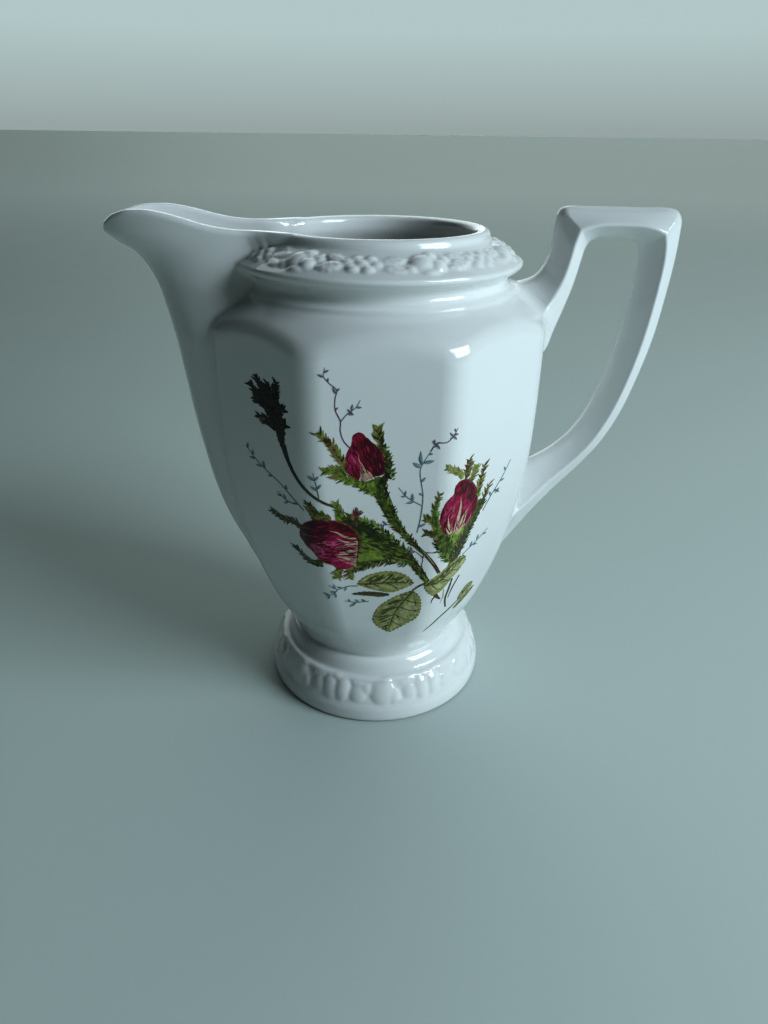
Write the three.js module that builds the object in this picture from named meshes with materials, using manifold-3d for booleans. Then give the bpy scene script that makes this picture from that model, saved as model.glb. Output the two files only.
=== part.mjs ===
// Porcelain cream jug: round relief foot, eight-sided body, neck, flared relief collar,
// beak spout and a ridged angular handle. Millimetres, +Z up, spout towards -X, handle towards +X.
// The frame's origin is the middle of the jug's footprint on the table.
import * as THREE from 'three';
import { mergeVertices } from 'three/addons/utils/BufferGeometryUtils.js';
import Module from 'manifold-3d';

// ---- driving dimensions (mm) ----
const GAP = 0.3;
const SPOUT_TIP_X = -61.8;
const HANDLE_BACK_X = 69.2;
const JUG_HEIGHT = 125;
const FOOT_RADIUS = 29.8;
const WAIST_RADIUS = 22.4;
const FOOT_TOP_Z = 17;
const BODY_BASE_Z = FOOT_TOP_Z + GAP;
const BODY_TOP_Z = 107.5;
const NECK_BASE_Z = BODY_TOP_Z + GAP;
const NECK_TOP_Z = 111.3;
const COLLAR_BASE_Z = NECK_TOP_Z + GAP;
const COLLAR_RADIUS = 33;
const COLLAR_EDGE_Z = 113.1;
const RIM_Z = 120.4;
const MOUTH_RADIUS = 21.9;
const WALL = 3;
const FLOOR_Z = 21.3;
const CORNER_SOFTNESS = 1.2;
const HANDLE_HALF_WIDTH = 5.8;
const HANDLE_FLAT = 1.7;
const CHANNEL_FLOOR_Z = 88;
const CHANNEL_WALL = 2.6;

// Circumradius of the eight-sided body against height: [height, radius].
const BODY_CORNERS = [
  [17.3, 22.6], [19.4, 23.8], [22.1, 25.7], [26.9, 28.6], [32.2, 31.0], [38.9, 33.5],
  [46.6, 35.8], [55.7, 37.8], [64.2, 39.2], [73.9, 40.1], [84.4, 40.5], [94, 40.5], [108, 40.5],
];
// How far the section has turned from a circle (0) into an octagon (1).
const BODY_FACETING = [[17.3, 0], [19.4, 0.12], [22.1, 0.35], [26.9, 0.7], [32.2, 0.93], [38.9, 1], [108, 1]];
// Radius of the round shoulder dome that closes the octagon at the top.
const SHOULDER = [[90, 48], [96, 44.2], [99.6, 41.2], [102, 38.9], [104.5, 35.9], [106.4, 33.2], [107.8, 31.2]];
// Spout: height, keel position in x, centre of the plan ellipse in x, half width of that ellipse.
const SPOUT = [
  [39, -31.6, -24, 8], [41, -34.0, -24, 12], [44, -36.4, -25, 14.2], [47.6, -38.2, -26, 15.3],
  [56.9, -41.6, -28, 16.3], [66, -43.6, -29, 16.9], [78, -45.6, -30, 17.2], [88, -46.9, -30, 17.2],
  [96, -48.0, -30, 16.9], [100, -48.9, -29, 16.2], [104, -49.8, -28, 15], [108.1, -50.9, -26, 14],
  [111.5, -52.6, -24, 13.2], [114.6, -55.1, -23, 12.8], [116.9, -58.9, -22, 12.6],
  [119.3, -61.8, -22, 12.5], [121.6, -61.8, -22, 12.5], [127, -61.8, -22, 12.5],
];
// Outline of the lip seen from the side: [x, z].
const LIP = [
  [-70, 119.3], [SPOUT_TIP_X, 119.3], [-60.3, 121.4], [-57.8, 122.8], [-52.9, 124.2], [-48.5, 124],
  [-44.4, 123.2], [-39.8, 122.1], [-36.7, 121.3], [-33.6, 120.7], [-28.9, 120.4], [-10, 120.4],
  [-10, 140], [-70, 140],
];
// Handle stations from the upper root round to the lower root:
// outer edge x and z, inner edge x and z, half width at the side ridge.
const HANDLE = [
  [27, 107.2, 33, 88, 14.6], [33.2, 108.4, 40.9, 92.6, 12.4], [36.8, 109.8, 42.3, 97.2, 8.8],
  [39, 113, 44.3, 102.4, 6.8], [40, 117.6, 46, 108, 6], [40.2, 122, 47.2, 113.8, HANDLE_HALF_WIDTH],
  [40.8, 124.1, 48, 116.6, HANDLE_HALF_WIDTH], [43, JUG_HEIGHT, 49.8, 118, HANDLE_HALF_WIDTH],
  [50, JUG_HEIGHT, 52.4, 118.2, HANDLE_HALF_WIDTH], [59, 124.9, 56.2, 118.1, HANDLE_HALF_WIDTH],
  [65.8, 124.8, 59, 117.4, HANDLE_HALF_WIDTH], [68.5, 123.4, 60.3, 115.8, HANDLE_HALF_WIDTH],
  [HANDLE_BACK_X, 119.8, 60.5, 112.4, HANDLE_HALF_WIDTH], [69, 112.4, 60.2, 107, HANDLE_HALF_WIDTH],
  [68.3, 104.5, 59.4, 100, HANDLE_HALF_WIDTH], [67.2, 95.6, 58, 91.6, HANDLE_HALF_WIDTH],
  [65.3, 87, 56.2, 84.8, HANDLE_HALF_WIDTH], [62, 76.4, 53.8, 78, HANDLE_HALF_WIDTH],
  [57.6, 67.6, 50.6, 72, HANDLE_HALF_WIDTH], [51.2, 59.5, 45.8, 67.1, 6],
  [46.4, 54.4, 41.2, 63.9, 7.2], [41.2, 48.6, 37.4, 61.6, 9.8], [35, 40.6, 33.4, 60.2, 12.6],
  [27, 33, 27, 59, 13.6],
];

// ---- helpers ----
const wasm = await Module();
wasm.setup();

function sample(table, at, column = 1) {
  const last = table.length - 1;
  if (at <= table[0][0]) return table[0][column];
  if (at >= table[last][0]) return table[last][column];
  let i = 0;
  while (table[i + 1][0] < at) i += 1;
  const step = (at - table[i][0]) / (table[i + 1][0] - table[i][0]);
  return THREE.MathUtils.lerp(table[i][column], table[i + 1][column], step);
}

function softMin(a, b, softness) {
  const h = THREE.MathUtils.clamp(0.5 + (b - a) / (2 * softness), 0, 1);
  return THREE.MathUtils.lerp(b, a, h) - softness * h * (1 - h);
}

function octagonRatio(angle) {
  const eighth = Math.PI / 4;
  const fromFace = angle - eighth * Math.round(angle / eighth);
  return Math.cos(eighth / 2) / Math.cos(fromFace);
}

function bodyRadius(angle, z) {
  const facet = THREE.MathUtils.lerp(1, octagonRatio(angle), sample(BODY_FACETING, z));
  return softMin(sample(BODY_CORNERS, z) * facet, sample(SHOULDER, z), CORNER_SOFTNESS);
}

function merged(geometry) {
  geometry.deleteAttribute('normal');
  geometry.deleteAttribute('uv');
  return mergeVertices(geometry, 1e-4);
}

function toSolid(geometry) {
  const clean = merged(geometry);
  const mesh = new wasm.Mesh({
    numProp: 3,
    vertProperties: new Float32Array(clean.attributes.position.array),
    triVerts: new Uint32Array(clean.index.array),
  });
  const solid = new wasm.Manifold(mesh);
  return solid;
}

function toGeometry(solid) {
  const mesh = solid.getMesh();
  const geometry = new THREE.BufferGeometry();
  geometry.setAttribute('position', new THREE.BufferAttribute(new Float32Array(mesh.vertProperties), 3));
  geometry.setIndex(new THREE.BufferAttribute(new Uint32Array(mesh.triVerts), 1));
  geometry.computeVertexNormals();
  return geometry;
}

// Turned shape from a closed [radius, height] outline listed from the underside outwards and up.
function turned(outline, segments) {
  const points = outline.map(([r, z]) => new THREE.Vector2(r, z));
  const geometry = new THREE.LatheGeometry(points, segments);
  geometry.rotateX(Math.PI / 2);
  return geometry;
}

// Turned shape whose rings are then pulled out to a radius that depends on direction and height.
function shaped(outline, segments, radiusAt) {
  const geometry = turned(outline.map(([tag, z]) => [tag, z]), segments);
  const position = geometry.attributes.position;
  for (let i = 0; i < position.count; i += 1) {
    const x = position.getX(i);
    const y = position.getY(i);
    const tag = Math.hypot(x, y);
    if (tag > 1e-6) {
      const angle = Math.atan2(y, x);
      const radius = radiusAt(angle, position.getZ(i), tag);
      position.setX(i, radius * Math.cos(angle));
      position.setY(i, radius * Math.sin(angle));
    }
  }
  return geometry;
}

// Closed loft: a capped cylinder whose rings are moved to the given sections, bottom section first.
function loft(sections) {
  const around = sections[0].length;
  const geometry = new THREE.CylinderGeometry(1, 1, 1, around, sections.length - 1);
  const clean = merged(geometry);
  const position = clean.attributes.position;
  for (let i = 0; i < position.count; i += 1) {
    const level = Math.round((position.getY(i) + 0.5) * (sections.length - 1));
    const section = sections[level];
    if (Math.hypot(position.getX(i), position.getZ(i)) < 1e-6) {
      const middle = new THREE.Vector3();
      section.forEach((point) => middle.add(point));
      middle.divideScalar(around);
      position.setXYZ(i, middle.x, middle.y, middle.z);
    } else {
      const turn = Math.atan2(position.getX(i), position.getZ(i)) / (2 * Math.PI);
      const slot = (Math.round(turn * around) + around) % around;
      position.setXYZ(i, section[slot].x, section[slot].y, section[slot].z);
    }
  }
  return clean;
}

function finishMesh(name, geometry, material) {
  const mesh = new THREE.Mesh(geometry, material);
  mesh.name = name;
  return mesh;
}

// ---- materials ----
const glazedPorcelain = new THREE.MeshStandardMaterial({
  name: 'glazed_porcelain', color: 0xe9ecec, roughness: 0.12, metalness: 0,
});

// ---- body ----
const ROUND_SEGMENTS = 48;
const BODY_SEGMENTS = 32;
const OUTER_LEVELS = [
  19.4, 22.1, 26.9, 32.2, 38.9, 46.6, 55.7, 64.2, 73.9, 84.4, 94, 97.4, 99.4, 101.2, 103, 104.8, 106.2,
];
const INNER_LEVELS = [105.5, 103, 100, 96, 84, 70, 56, 46, 38, 31, 26.5, 23.2];

function bodyShell() {
  const outline = [[0, BODY_BASE_Z], [1, BODY_BASE_Z]];
  OUTER_LEVELS.forEach((z) => outline.push([1, z]));
  outline.push([1, BODY_TOP_Z], [2, BODY_TOP_Z]);
  INNER_LEVELS.forEach((z) => outline.push([2, z]));
  outline.push([3, FLOOR_Z], [0, FLOOR_Z]);
  return shaped(outline, BODY_SEGMENTS, (angle, z, tag) => {
    if (tag < 1.5) return bodyRadius(angle, z);
    if (tag > 2.5) return 14;
    return bodyRadius(angle, z) - WALL - 0.6 * Math.max(0, (28 - z) / 8);
  });
}

// ---- round pieces ----
const FOOT_OUTLINE = [
  [0, 13.2], [17, 13.2], [22.6, 10.6], [25.6, 5], [26.6, 0], [29.2, 0], [FOOT_RADIUS, 0.8],
  [FOOT_RADIUS, 5.4], [29, 6.3], [28.6, 9], [27.9, 11.4], [26.9, 13.1], [25, 14.2], [23.6, 15.3],
  [WAIST_RADIUS, FOOT_TOP_Z], [0, FOOT_TOP_Z],
];
const NECK_OUTLINE = [
  [26.8, NECK_BASE_Z], [31, NECK_BASE_Z], [30.3, 108.5], [29.9, 109.4], [29.8, 110.2], [30.4, NECK_TOP_Z],
  [26, NECK_TOP_Z], [26.8, NECK_BASE_Z],
];
const COLLAR_OUTLINE = [
  [25.8, COLLAR_BASE_Z], [30.8, COLLAR_BASE_Z], [32.2, 112.2], [COLLAR_RADIUS, COLLAR_EDGE_Z], [32.8, 114],
  [30.5, 115.4], [27.9, 117], [25.6, 118.3], [25.3, 119.1], [24.6, 120.1], [23.5, RIM_Z], [22.4, 120.1],
  [MOUTH_RADIUS, 119.2], [MOUTH_RADIUS, 117], [23.2, 114.2], [25.8, COLLAR_BASE_Z],
];

// ---- clearance envelope of the pot itself, used to trim spout and handle ----
function potEnvelope() {
  const grow = GAP + 0.1;
  const levels = [16, 17.3, ...OUTER_LEVELS, BODY_TOP_Z, 108];
  const outline = [[0, 16]];
  levels.forEach((z) => outline.push([1, z]));
  outline.push([0, 108]);
  const lower = toSolid(shaped(outline, BODY_SEGMENTS, (angle, z) => {
    return bodyRadius(angle, Math.min(z, BODY_TOP_Z)) + grow * 1.25;
  }));
  const upper = toSolid(turned([
    [0, 106], [31.6, 106], [31.5, 107.9], [30.8, 108.6], [30.4, 109.5], [30.3, 110.1], [31, 111],
    [32.8, 111.7], [33.6, 113], [33.4, 114.3], [31, 115.8], [28.3, 117.4], [26.1, 118.6], [25.8, 119.3],
    [24.9, 120.5], [23.6, 121], [0, 121],
  ], ROUND_SEGMENTS));
  return lower.add(upper);
}

// ---- spout ----
function spoutSolid(inset, levels) {
  const around = 28;
  const sections = levels.map((z) => {
    const centre = sample(SPOUT, z, 2);
    const reach = centre - sample(SPOUT, z, 1) - inset * 1.1;
    const half = sample(SPOUT, z, 3) - inset;
    const ring = [];
    for (let i = 0; i < around; i += 1) {
      const turn = (i / around) * 2 * Math.PI;
      const along = -Math.cos(turn);
      const stretch = along < 0 ? reach : 8;
      ring.push(new THREE.Vector3(centre + along * stretch, -half * Math.sin(turn), z));
    }
    return ring;
  });
  return toSolid(loft(sections));
}

function prismAcross(outline, halfWidth) {
  const shape = new THREE.Shape(outline.map(([x, z]) => new THREE.Vector2(x, z)));
  const geometry = new THREE.ExtrudeGeometry(shape, { depth: 2 * halfWidth, bevelEnabled: false });
  geometry.translate(0, 0, -halfWidth);
  geometry.rotateX(Math.PI / 2);
  return toSolid(geometry);
}

const spoutLevels = SPOUT.map((row) => row[0]);
const channelLevels = [CHANNEL_FLOOR_Z, 92, 96, 100, 104, 108.1, 111.5, 114.6, 116.9, 119.3, 121.6, 130];
const aboveLip = prismAcross(LIP, 30);
const mouthCore = toSolid(turned([[0, 70], [24.4, 70], [24.4, 135], [0, 135]], ROUND_SEGMENTS));
const channel = spoutSolid(CHANNEL_WALL, channelLevels);
const pot = potEnvelope();
const spout = spoutSolid(0, spoutLevels)
  .subtract(aboveLip)
  .subtract(channel)
  .subtract(pot)
  .subtract(mouthCore);

// ---- handle ----
function handleSolid() {
  const sections = HANDLE.map(([outerX, outerZ, innerX, innerZ, half]) => {
    const ridgeX = (outerX + innerX) / 2;
    const ridgeZ = (outerZ + innerZ) / 2;
    const flat = HANDLE_FLAT * (half / HANDLE_HALF_WIDTH);
    return [
      new THREE.Vector3(outerX, flat, outerZ),
      new THREE.Vector3(outerX, -flat, outerZ),
      new THREE.Vector3(ridgeX, -half, ridgeZ),
      new THREE.Vector3(innerX, -flat, innerZ),
      new THREE.Vector3(innerX, flat, innerZ),
      new THREE.Vector3(ridgeX, half, ridgeZ),
    ];
  });
  return toSolid(loft(sections));
}

const handle = handleSolid().subtract(pot);

// ---- assembly ----
const jug = new THREE.Group();
jug.name = 'cream_jug';
const pieces = new THREE.Group();
pieces.position.x = -(SPOUT_TIP_X + HANDLE_BACK_X) / 2;
jug.add(pieces);

pieces.add(finishMesh('foot', merged(turned(FOOT_OUTLINE, ROUND_SEGMENTS)), glazedPorcelain));
pieces.add(finishMesh('body', toGeometry(toSolid(bodyShell()).subtract(channel)), glazedPorcelain));
pieces.add(finishMesh('neck', toGeometry(toSolid(turned(NECK_OUTLINE, ROUND_SEGMENTS)).subtract(channel)),
  glazedPorcelain));
pieces.add(finishMesh('collar', toGeometry(toSolid(turned(COLLAR_OUTLINE, ROUND_SEGMENTS)).subtract(channel)),
  glazedPorcelain));
pieces.add(finishMesh('spout', toGeometry(spout), glazedPorcelain));
pieces.add(finishMesh('handle', toGeometry(handle), glazedPorcelain));

export default jug;
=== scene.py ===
import math
import bpy
import numpy as np
from mathutils import Matrix, Vector
from mathutils.geometry import delaunay_2d_cdt


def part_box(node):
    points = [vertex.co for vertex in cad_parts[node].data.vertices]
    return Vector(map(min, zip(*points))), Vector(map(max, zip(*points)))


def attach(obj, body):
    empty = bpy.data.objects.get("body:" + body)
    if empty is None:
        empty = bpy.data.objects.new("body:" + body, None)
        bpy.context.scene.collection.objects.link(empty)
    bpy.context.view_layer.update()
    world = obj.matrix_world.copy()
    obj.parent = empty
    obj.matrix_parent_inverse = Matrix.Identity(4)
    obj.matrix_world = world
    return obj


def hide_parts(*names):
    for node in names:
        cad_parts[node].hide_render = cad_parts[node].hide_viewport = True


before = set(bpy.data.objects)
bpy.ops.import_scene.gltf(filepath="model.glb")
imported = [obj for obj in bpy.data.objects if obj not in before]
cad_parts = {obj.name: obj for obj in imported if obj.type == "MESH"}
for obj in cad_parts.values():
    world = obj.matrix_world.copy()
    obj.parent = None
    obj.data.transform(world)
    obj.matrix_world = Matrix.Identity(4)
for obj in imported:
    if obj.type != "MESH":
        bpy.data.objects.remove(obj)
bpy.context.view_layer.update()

# Everything about the jug is worked out in millimetres, with z up from the table and the pot's
# own axis at x = 0, y = 0. The CAD foot says where that axis stands in the frame.
foot_low, foot_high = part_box("foot")
AXIS = np.array([(foot_low[0] + foot_high[0]) / 2, (foot_low[1] + foot_high[1]) / 2, foot_low[2]])
STEP = 0.45


# ------------------------------------------------------------------ small numeric helpers
def smooth_curve(xs, ys):
    """Monotone cubic through the points, returned as a fast look-up function."""
    xs, ys = np.asarray(xs, float), np.asarray(ys, float)
    h = np.diff(xs)
    d = np.diff(ys) / h
    m = np.zeros_like(ys)
    m[0], m[-1] = d[0], d[-1]
    w1, w2 = 2 * h[1:] + h[:-1], h[1:] + 2 * h[:-1]
    same = d[1:] * d[:-1] > 0
    safe0, safe1 = np.where(same, d[:-1], 1.0), np.where(same, d[1:], 1.0)
    m[1:-1] = np.where(same, (w1 + w2) / (w1 / safe0 + w2 / safe1), 0.0)
    t = np.linspace(xs[0], xs[-1], 4001)
    i = np.clip(np.searchsorted(xs, t) - 1, 0, len(h) - 1)
    u = (t - xs[i]) / h[i]
    v = (ys[i] * (2 * u ** 3 - 3 * u ** 2 + 1) + h[i] * m[i] * (u ** 3 - 2 * u ** 2 + u)
         + ys[i + 1] * (3 * u ** 2 - 2 * u ** 3) + h[i] * m[i + 1] * (u ** 3 - u ** 2))
    return lambda q: np.interp(q, t, v)


def smin(a, b, k):
    h = np.clip(0.5 + 0.5 * (b - a) / k, 0, 1)
    return b + (a - b) * h - k * h * (1 - h)


def smax(a, b, k):
    return -smin(-a, -b, k)


def ease(low, high, q):
    t = np.clip((q - low) / (high - low), 0, 1)
    return t * t * (3 - 2 * t)


def rounded_path(points, per=6):
    """Centripetal Catmull-Rom through the points, as a dense polyline."""
    p = np.asarray(points, float)
    p = np.vstack([2 * p[0] - p[1], p, 2 * p[-1] - p[-2]])
    out = []
    for i in range(1, len(p) - 2):
        a, b, c, d = p[i - 1:i + 3]
        t0 = 0.0
        t1 = t0 + max(np.linalg.norm(b - a), 1e-6) ** 0.5
        t2 = t1 + max(np.linalg.norm(c - b), 1e-6) ** 0.5
        t3 = t2 + max(np.linalg.norm(d - c), 1e-6) ** 0.5
        for t in np.linspace(t1, t2, per, endpoint=False):
            a1 = (t1 - t) / (t1 - t0) * a + (t - t0) / (t1 - t0) * b
            a2 = (t2 - t) / (t2 - t1) * b + (t - t1) / (t2 - t1) * c
            a3 = (t3 - t) / (t3 - t2) * c + (t - t2) / (t3 - t2) * d
            b1 = (t2 - t) / (t2 - t0) * a1 + (t - t0) / (t2 - t0) * a2
            b2 = (t3 - t) / (t3 - t1) * a2 + (t - t1) / (t3 - t1) * a3
            out.append((t2 - t) / (t2 - t1) * b1 + (t - t1) / (t2 - t1) * b2)
    out.append(p[-2])
    return np.array(out)


class Field:
    """A function of two coordinates kept on a regular grid and read back by bilinear look-up."""

    def __init__(self, low, step, values):
        self.low, self.step, self.values = np.asarray(low, float), step, values
        self.top = np.array(values.shape) - 1.000001

    @staticmethod
    def axes(low, high, step):
        a = np.arange(low[0], high[0] + step, step)
        b = np.arange(low[1], high[1] + step, step)
        return np.meshgrid(a, b, indexing="ij")

    def __call__(self, a, b):
        i = np.clip((a - self.low[0]) / self.step, 0, self.top[0])
        j = np.clip((b - self.low[1]) / self.step, 0, self.top[1])
        i0, j0 = i.astype(int), j.astype(int)
        u, v = i - i0, j - j0
        g = self.values
        return ((g[i0, j0] * (1 - u) + g[i0 + 1, j0] * u) * (1 - v)
                + (g[i0, j0 + 1] * (1 - u) + g[i0 + 1, j0 + 1] * u) * v)


def looped(path):
    return np.vstack([path, path[:1]])


def distance_to_path(a, b, path, values=None):
    """Distance from grid points to a polyline, and the value carried by the nearest point on it."""
    best = np.full(a.shape, 1e9)
    carried = np.zeros(a.shape) if values is not None else None
    for k in range(len(path) - 1):
        p, q = path[k], path[k + 1]
        e = q - p
        length = max(float(e @ e), 1e-12)
        t = np.clip(((a - p[0]) * e[0] + (b - p[1]) * e[1]) / length, 0, 1)
        d = (a - p[0] - t * e[0]) ** 2 + (b - p[1] - t * e[1]) ** 2
        near = d < best
        best = np.where(near, d, best)
        if values is not None:
            carried = np.where(near, values[k] + (values[k + 1] - values[k]) * t, carried)
    return np.sqrt(best), carried


def inside_polygon(a, b, path):
    inside = np.zeros(a.shape, bool)
    for k in range(len(path)):
        p, q = path[k - 1], path[k]
        if p[1] == q[1]:
            continue
        cross = (p[1] > b) != (q[1] > b)
        inside ^= cross & (a < (q[0] - p[0]) * (b - p[1]) / (q[1] - p[1]) + p[0])
    return inside


def polygon_field(path, low, high, step):
    a, b = Field.axes(low, high, step)
    d, _ = distance_to_path(a, b, looped(path))
    return Field(low, step, np.where(inside_polygon(a, b, path), -d, d))


# ------------------------------------------------------------------ the jug's measures (mm)
WALL, SPOUT_WALL = 3.0, 2.4
RIM, COLLAR_FLOOR, FOOT_TOP = 120.42, 104.4, 15.8   # heights
WELL, HOLLOW_TOP, CHANNEL_FLOOR = 21.3, 106, 47   # heights inside the body and inside the spout
BODY_SPAN = (14.9, 108.4)   # heights between which the octagonal body is kept
FAR = 1e3   # a distance that stands for "nowhere near"
# Height against the radius of the octagon's corners, against how flat its sides are (0 round, 1 flat)
# and against the radius of the dome that cuts its shoulder.
BODY_CORNERS = [
    (10, 20.0), (14, 21.6), (17.3, 22.6), (19.4, 23.8), (22.1, 25.7), (26.9, 28.6), (32.2, 31.0),
    (38.9, 33.5), (46.6, 35.8), (55.7, 37.8), (64.2, 39.2), (73.9, 40.1), (84.4, 40.45), (94, 40.5),
    (112, 40.4)]
FACETING = [(17.3, 0), (19.4, 0.12), (22.1, 0.35), (26.9, 0.7), (32.2, 0.93), (38.9, 1), (112, 1)]
SHOULDER = [
    (88, 50), (96, 44.2), (99.6, 41.3), (102, 39.0), (104.5, 36.0), (106.4, 33.3), (107.7, 31.5),
    (109, 30)]
SPOUT = [  # height, keel x, middle of the plan ellipse, half width of that ellipse
    (26, -21, -16, 3.5), (30, -25.4, -18, 5.6), (34, -28.7, -20, 7.8), (37, -30.7, -22, 9.8),
    (39, -32.2, -23, 11.0), (41, -34.0, -24, 12.1), (44, -36.4, -25, 13.4), (47.6, -38.2, -26, 14.4),
    (56.9, -41.5, -28, 15.3), (66, -43.5, -29, 15.8), (78, -45.5, -30, 16.0), (88, -46.8, -30, 16.0),
    (96, -47.9, -30, 15.8), (100, -48.7, -29, 15.4), (104, -49.6, -28, 14.7), (108.1, -50.8, -26, 14),
    (111.5, -52.5, -24, 13.2), (114.6, -55.0, -23, 12.8), (116.9, -58.7, -22, 12.6),
    (119.3, -61.7, -22, 12.5), (122, -62.4, -22, 12.5), (130, -62.6, -22, 12.5)]
# x against the height of the spout's top edge
LIP = [
    (-66, 116.2), (-61.8, 119.3), (-60.2, 121.3), (-57.6, 122.9), (-54, 123.9), (-50, 124.05),
    (-46, 123.55), (-42, 122.65), (-38, 121.6), (-34, 120.85), (-29, 120.45), (-22, RIM), (0, RIM)]
ARM = 5.8   # half width of the handle's arm
HANDLE = [  # outer edge x, z, inner edge x, z, half width at the side ridge
    (24, 106.6, 28, 84, 15.2), (29, 107.4, 35.4, 88.4, 14.4), (33.2, 108.4, 40.4, 92.4, 12.2),
    (36.8, 109.9, 42.2, 97.2, 8.6), (38.9, 113, 44.2, 102.4, 6.7), (39.9, 117.6, 46, 108, 6.0),
    (40.2, 121.6, 47.2, 113.6, ARM), (40.5, 123.6, 47.8, 116.1, ARM), (41.6, 124.7, 48.6, 117.3, ARM),
    (43.4, 124.95, 50, 117.95, ARM), (50, 124.95, 53, 118.1, ARM), (59, 124.8, 56.4, 118.05, ARM),
    (65.6, 124.7, 58.6, 117.6, ARM), (67.8, 124.1, 59.8, 116.5, ARM), (68.9, 122.6, 60.4, 114.6, ARM),
    (69.15, 119.6, 60.5, 111.6, ARM), (69, 112.4, 60.2, 106.6, ARM), (68.3, 104.5, 59.4, 100, ARM),
    (67.2, 95.6, 58, 91.6, ARM), (65.3, 87, 56.2, 84.6, ARM), (62.1, 76.4, 53.7, 77.8, ARM),
    (57.7, 67.6, 50.4, 71.8, ARM), (51.6, 59.9, 45.8, 67.0, 6.0), (46.4, 54.4, 41.2, 63.9, 7.2),
    (41.2, 48.6, 37.2, 61.6, 9.8), (35.6, 41.2, 33.4, 60.2, 12.6), (29.6, 33, 28, 59.4, 14.4),
    (25.4, 27.2, 24, 59, 15)]
HANDLE_FLAT = 1.5   # half width of the flat left on its outer and inner edges
# Profiles turned about the axis: radius and height
FOOT_SIDE = [
    (28.9, 0.0), (29.5, 0.3), (29.8, 1.0), (29.9, 2.6), (29.75, 4.0), (29.4, 4.9), (29.0, 5.6),
    (28.6, 6.8), (28.1, 8.4), (27.5, 10.0), (27.0, 11.1), (26.75, 11.7), (26.3, 12.1), (25.7, 12.2),
    (25.2, 12.4), (24.8, 12.9), (24.4, 13.7), (23.9, 14.6), (23.3, 15.3), (22.6, 15.7), (21.8, FOOT_TOP)]
FOOT_UNDER = [
    (27.0, 0.0), (26.4, 0.5), (25.9, 1.6), (25.3, 4.6), (23.9, 8.0), (21.4, 10.9), (17.5, 12.6),
    (12, 13.1), (0, 13.2)]
COLLAR_SIDE = [
    (33.4, COLLAR_FLOOR), (32.4, 105.9), (31.8, 106.8), (31.75, 107.4), (31.7, 107.9), (31.3, 108.3),
    (30.7, 108.5), (30.2, 109.0), (29.9, 109.7), (29.9, 110.5), (30.3, 111.2), (31.1, 111.75),
    (32.0, 112.2), (32.65, 112.7), (32.95, 113.3), (32.8, 113.85), (32.2, 114.3), (30.4, 115.35),
    (28.2, 116.65), (26.5, 117.7), (25.6, 118.4), (25.35, 118.9), (25.2, 119.4), (24.85, 119.95),
    (24.2, 120.3), (23.4, RIM)]
MOUTH_SIDE = [
    (27.8, 98), (28.2, 104), (27.6, 108), (25.8, 111.8), (23.4, 114.6), (22.1, 116.9), (21.9, 118.6),
    (22.05, 119.5), (22.45, 120.1), (23.1, 120.5), (24.2, 121.6)]
# The two moulded bands run between these points, and lie on the profiles above
COLLAR_BAND = ((25.7, 118.3), (32.3, 114.2))
FOOT_BAND = ((29.25, 5.0), (26.7, 12.0))
CUTS = (16.4, 107.65, 111.45)   # where foot, body, neck and collar meet
EDGE_ROUNDING = 2.7   # of the eight upright edges
FOOT_JOIN, COLLAR_JOIN, HANDLE_JOIN, SPOUT_JOIN = 0.7, 0.9, 1.8, 0.9   # fillets
SPOUT_START, HANDLE_START = -8, 18   # nothing of either lies nearer to the axis
SIDES_START = 24   # nor below this height

corner_at = smooth_curve(*zip(*BODY_CORNERS))
facet_at = smooth_curve(*zip(*FACETING))
dome_at = smooth_curve(*zip(*SHOULDER))
keel_at = smooth_curve([r[0] for r in SPOUT], [r[1] for r in SPOUT])
heart_at = smooth_curve([r[0] for r in SPOUT], [r[2] for r in SPOUT])
half_at = smooth_curve([r[0] for r in SPOUT], [r[3] for r in SPOUT])
lip_at = smooth_curve(*zip(*LIP))

GRID = 0.15
foot_path = np.vstack([rounded_path(FOOT_SIDE), [(21.5, FOOT_TOP), (0, FOOT_TOP)], FOOT_UNDER[::-1]])
foot_field = polygon_field(foot_path, (0, -3), (36, 26), GRID)
collar_path = np.vstack([rounded_path(COLLAR_SIDE), [(0, RIM), (0, COLLAR_FLOOR)]])
collar_field = polygon_field(collar_path, (0, 100), (40, 127), GRID)
mouth_path = np.vstack([rounded_path(MOUTH_SIDE), [(24.2, 132), (0, 132), (0, 98)]])
mouth_field = polygon_field(mouth_path, (0, 94), (40, 128), GRID)


# ------------------------------------------------------------------ modelled relief
def lump(u, v, cu, cv, a, b, height, turn=0.0):
    """A rounded lump with half axes a and b, turned, and its height."""
    c, s = math.cos(turn), math.sin(turn)
    p, q = (u - cu) * c + (v - cv) * s, -(u - cu) * s + (v - cv) * c
    return height * np.clip(1 - (p / a) ** 2 - (q / b) ** 2, 0, 1) ** 0.8


def leaf(u, v, cu, cv, length, width, height, turn=0.0):
    """A pointed leaf with a sunk midrib and side veins."""
    c, s = math.cos(turn), math.sin(turn)
    p, q = (u - cu) * c + (v - cv) * s, -(u - cu) * s + (v - cv) * c
    t = np.clip(p / length, -0.5, 0.5)
    edge = width * np.cos(t * math.pi) ** 0.8 * 0.5 * (1 + 0.1 * np.cos(p * 4.6))
    body = height * np.clip(1 - (q / np.maximum(edge, 1e-3)) ** 2, 0, 1) ** 0.6 * (np.abs(p) < length / 2)
    veins = 0.26 * np.exp(-(q / 0.3) ** 2) - 0.1 * np.cos((p - 1.1 * np.abs(q)) * 4.2)
    return np.maximum(body * (1 - veins), 0)


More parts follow.
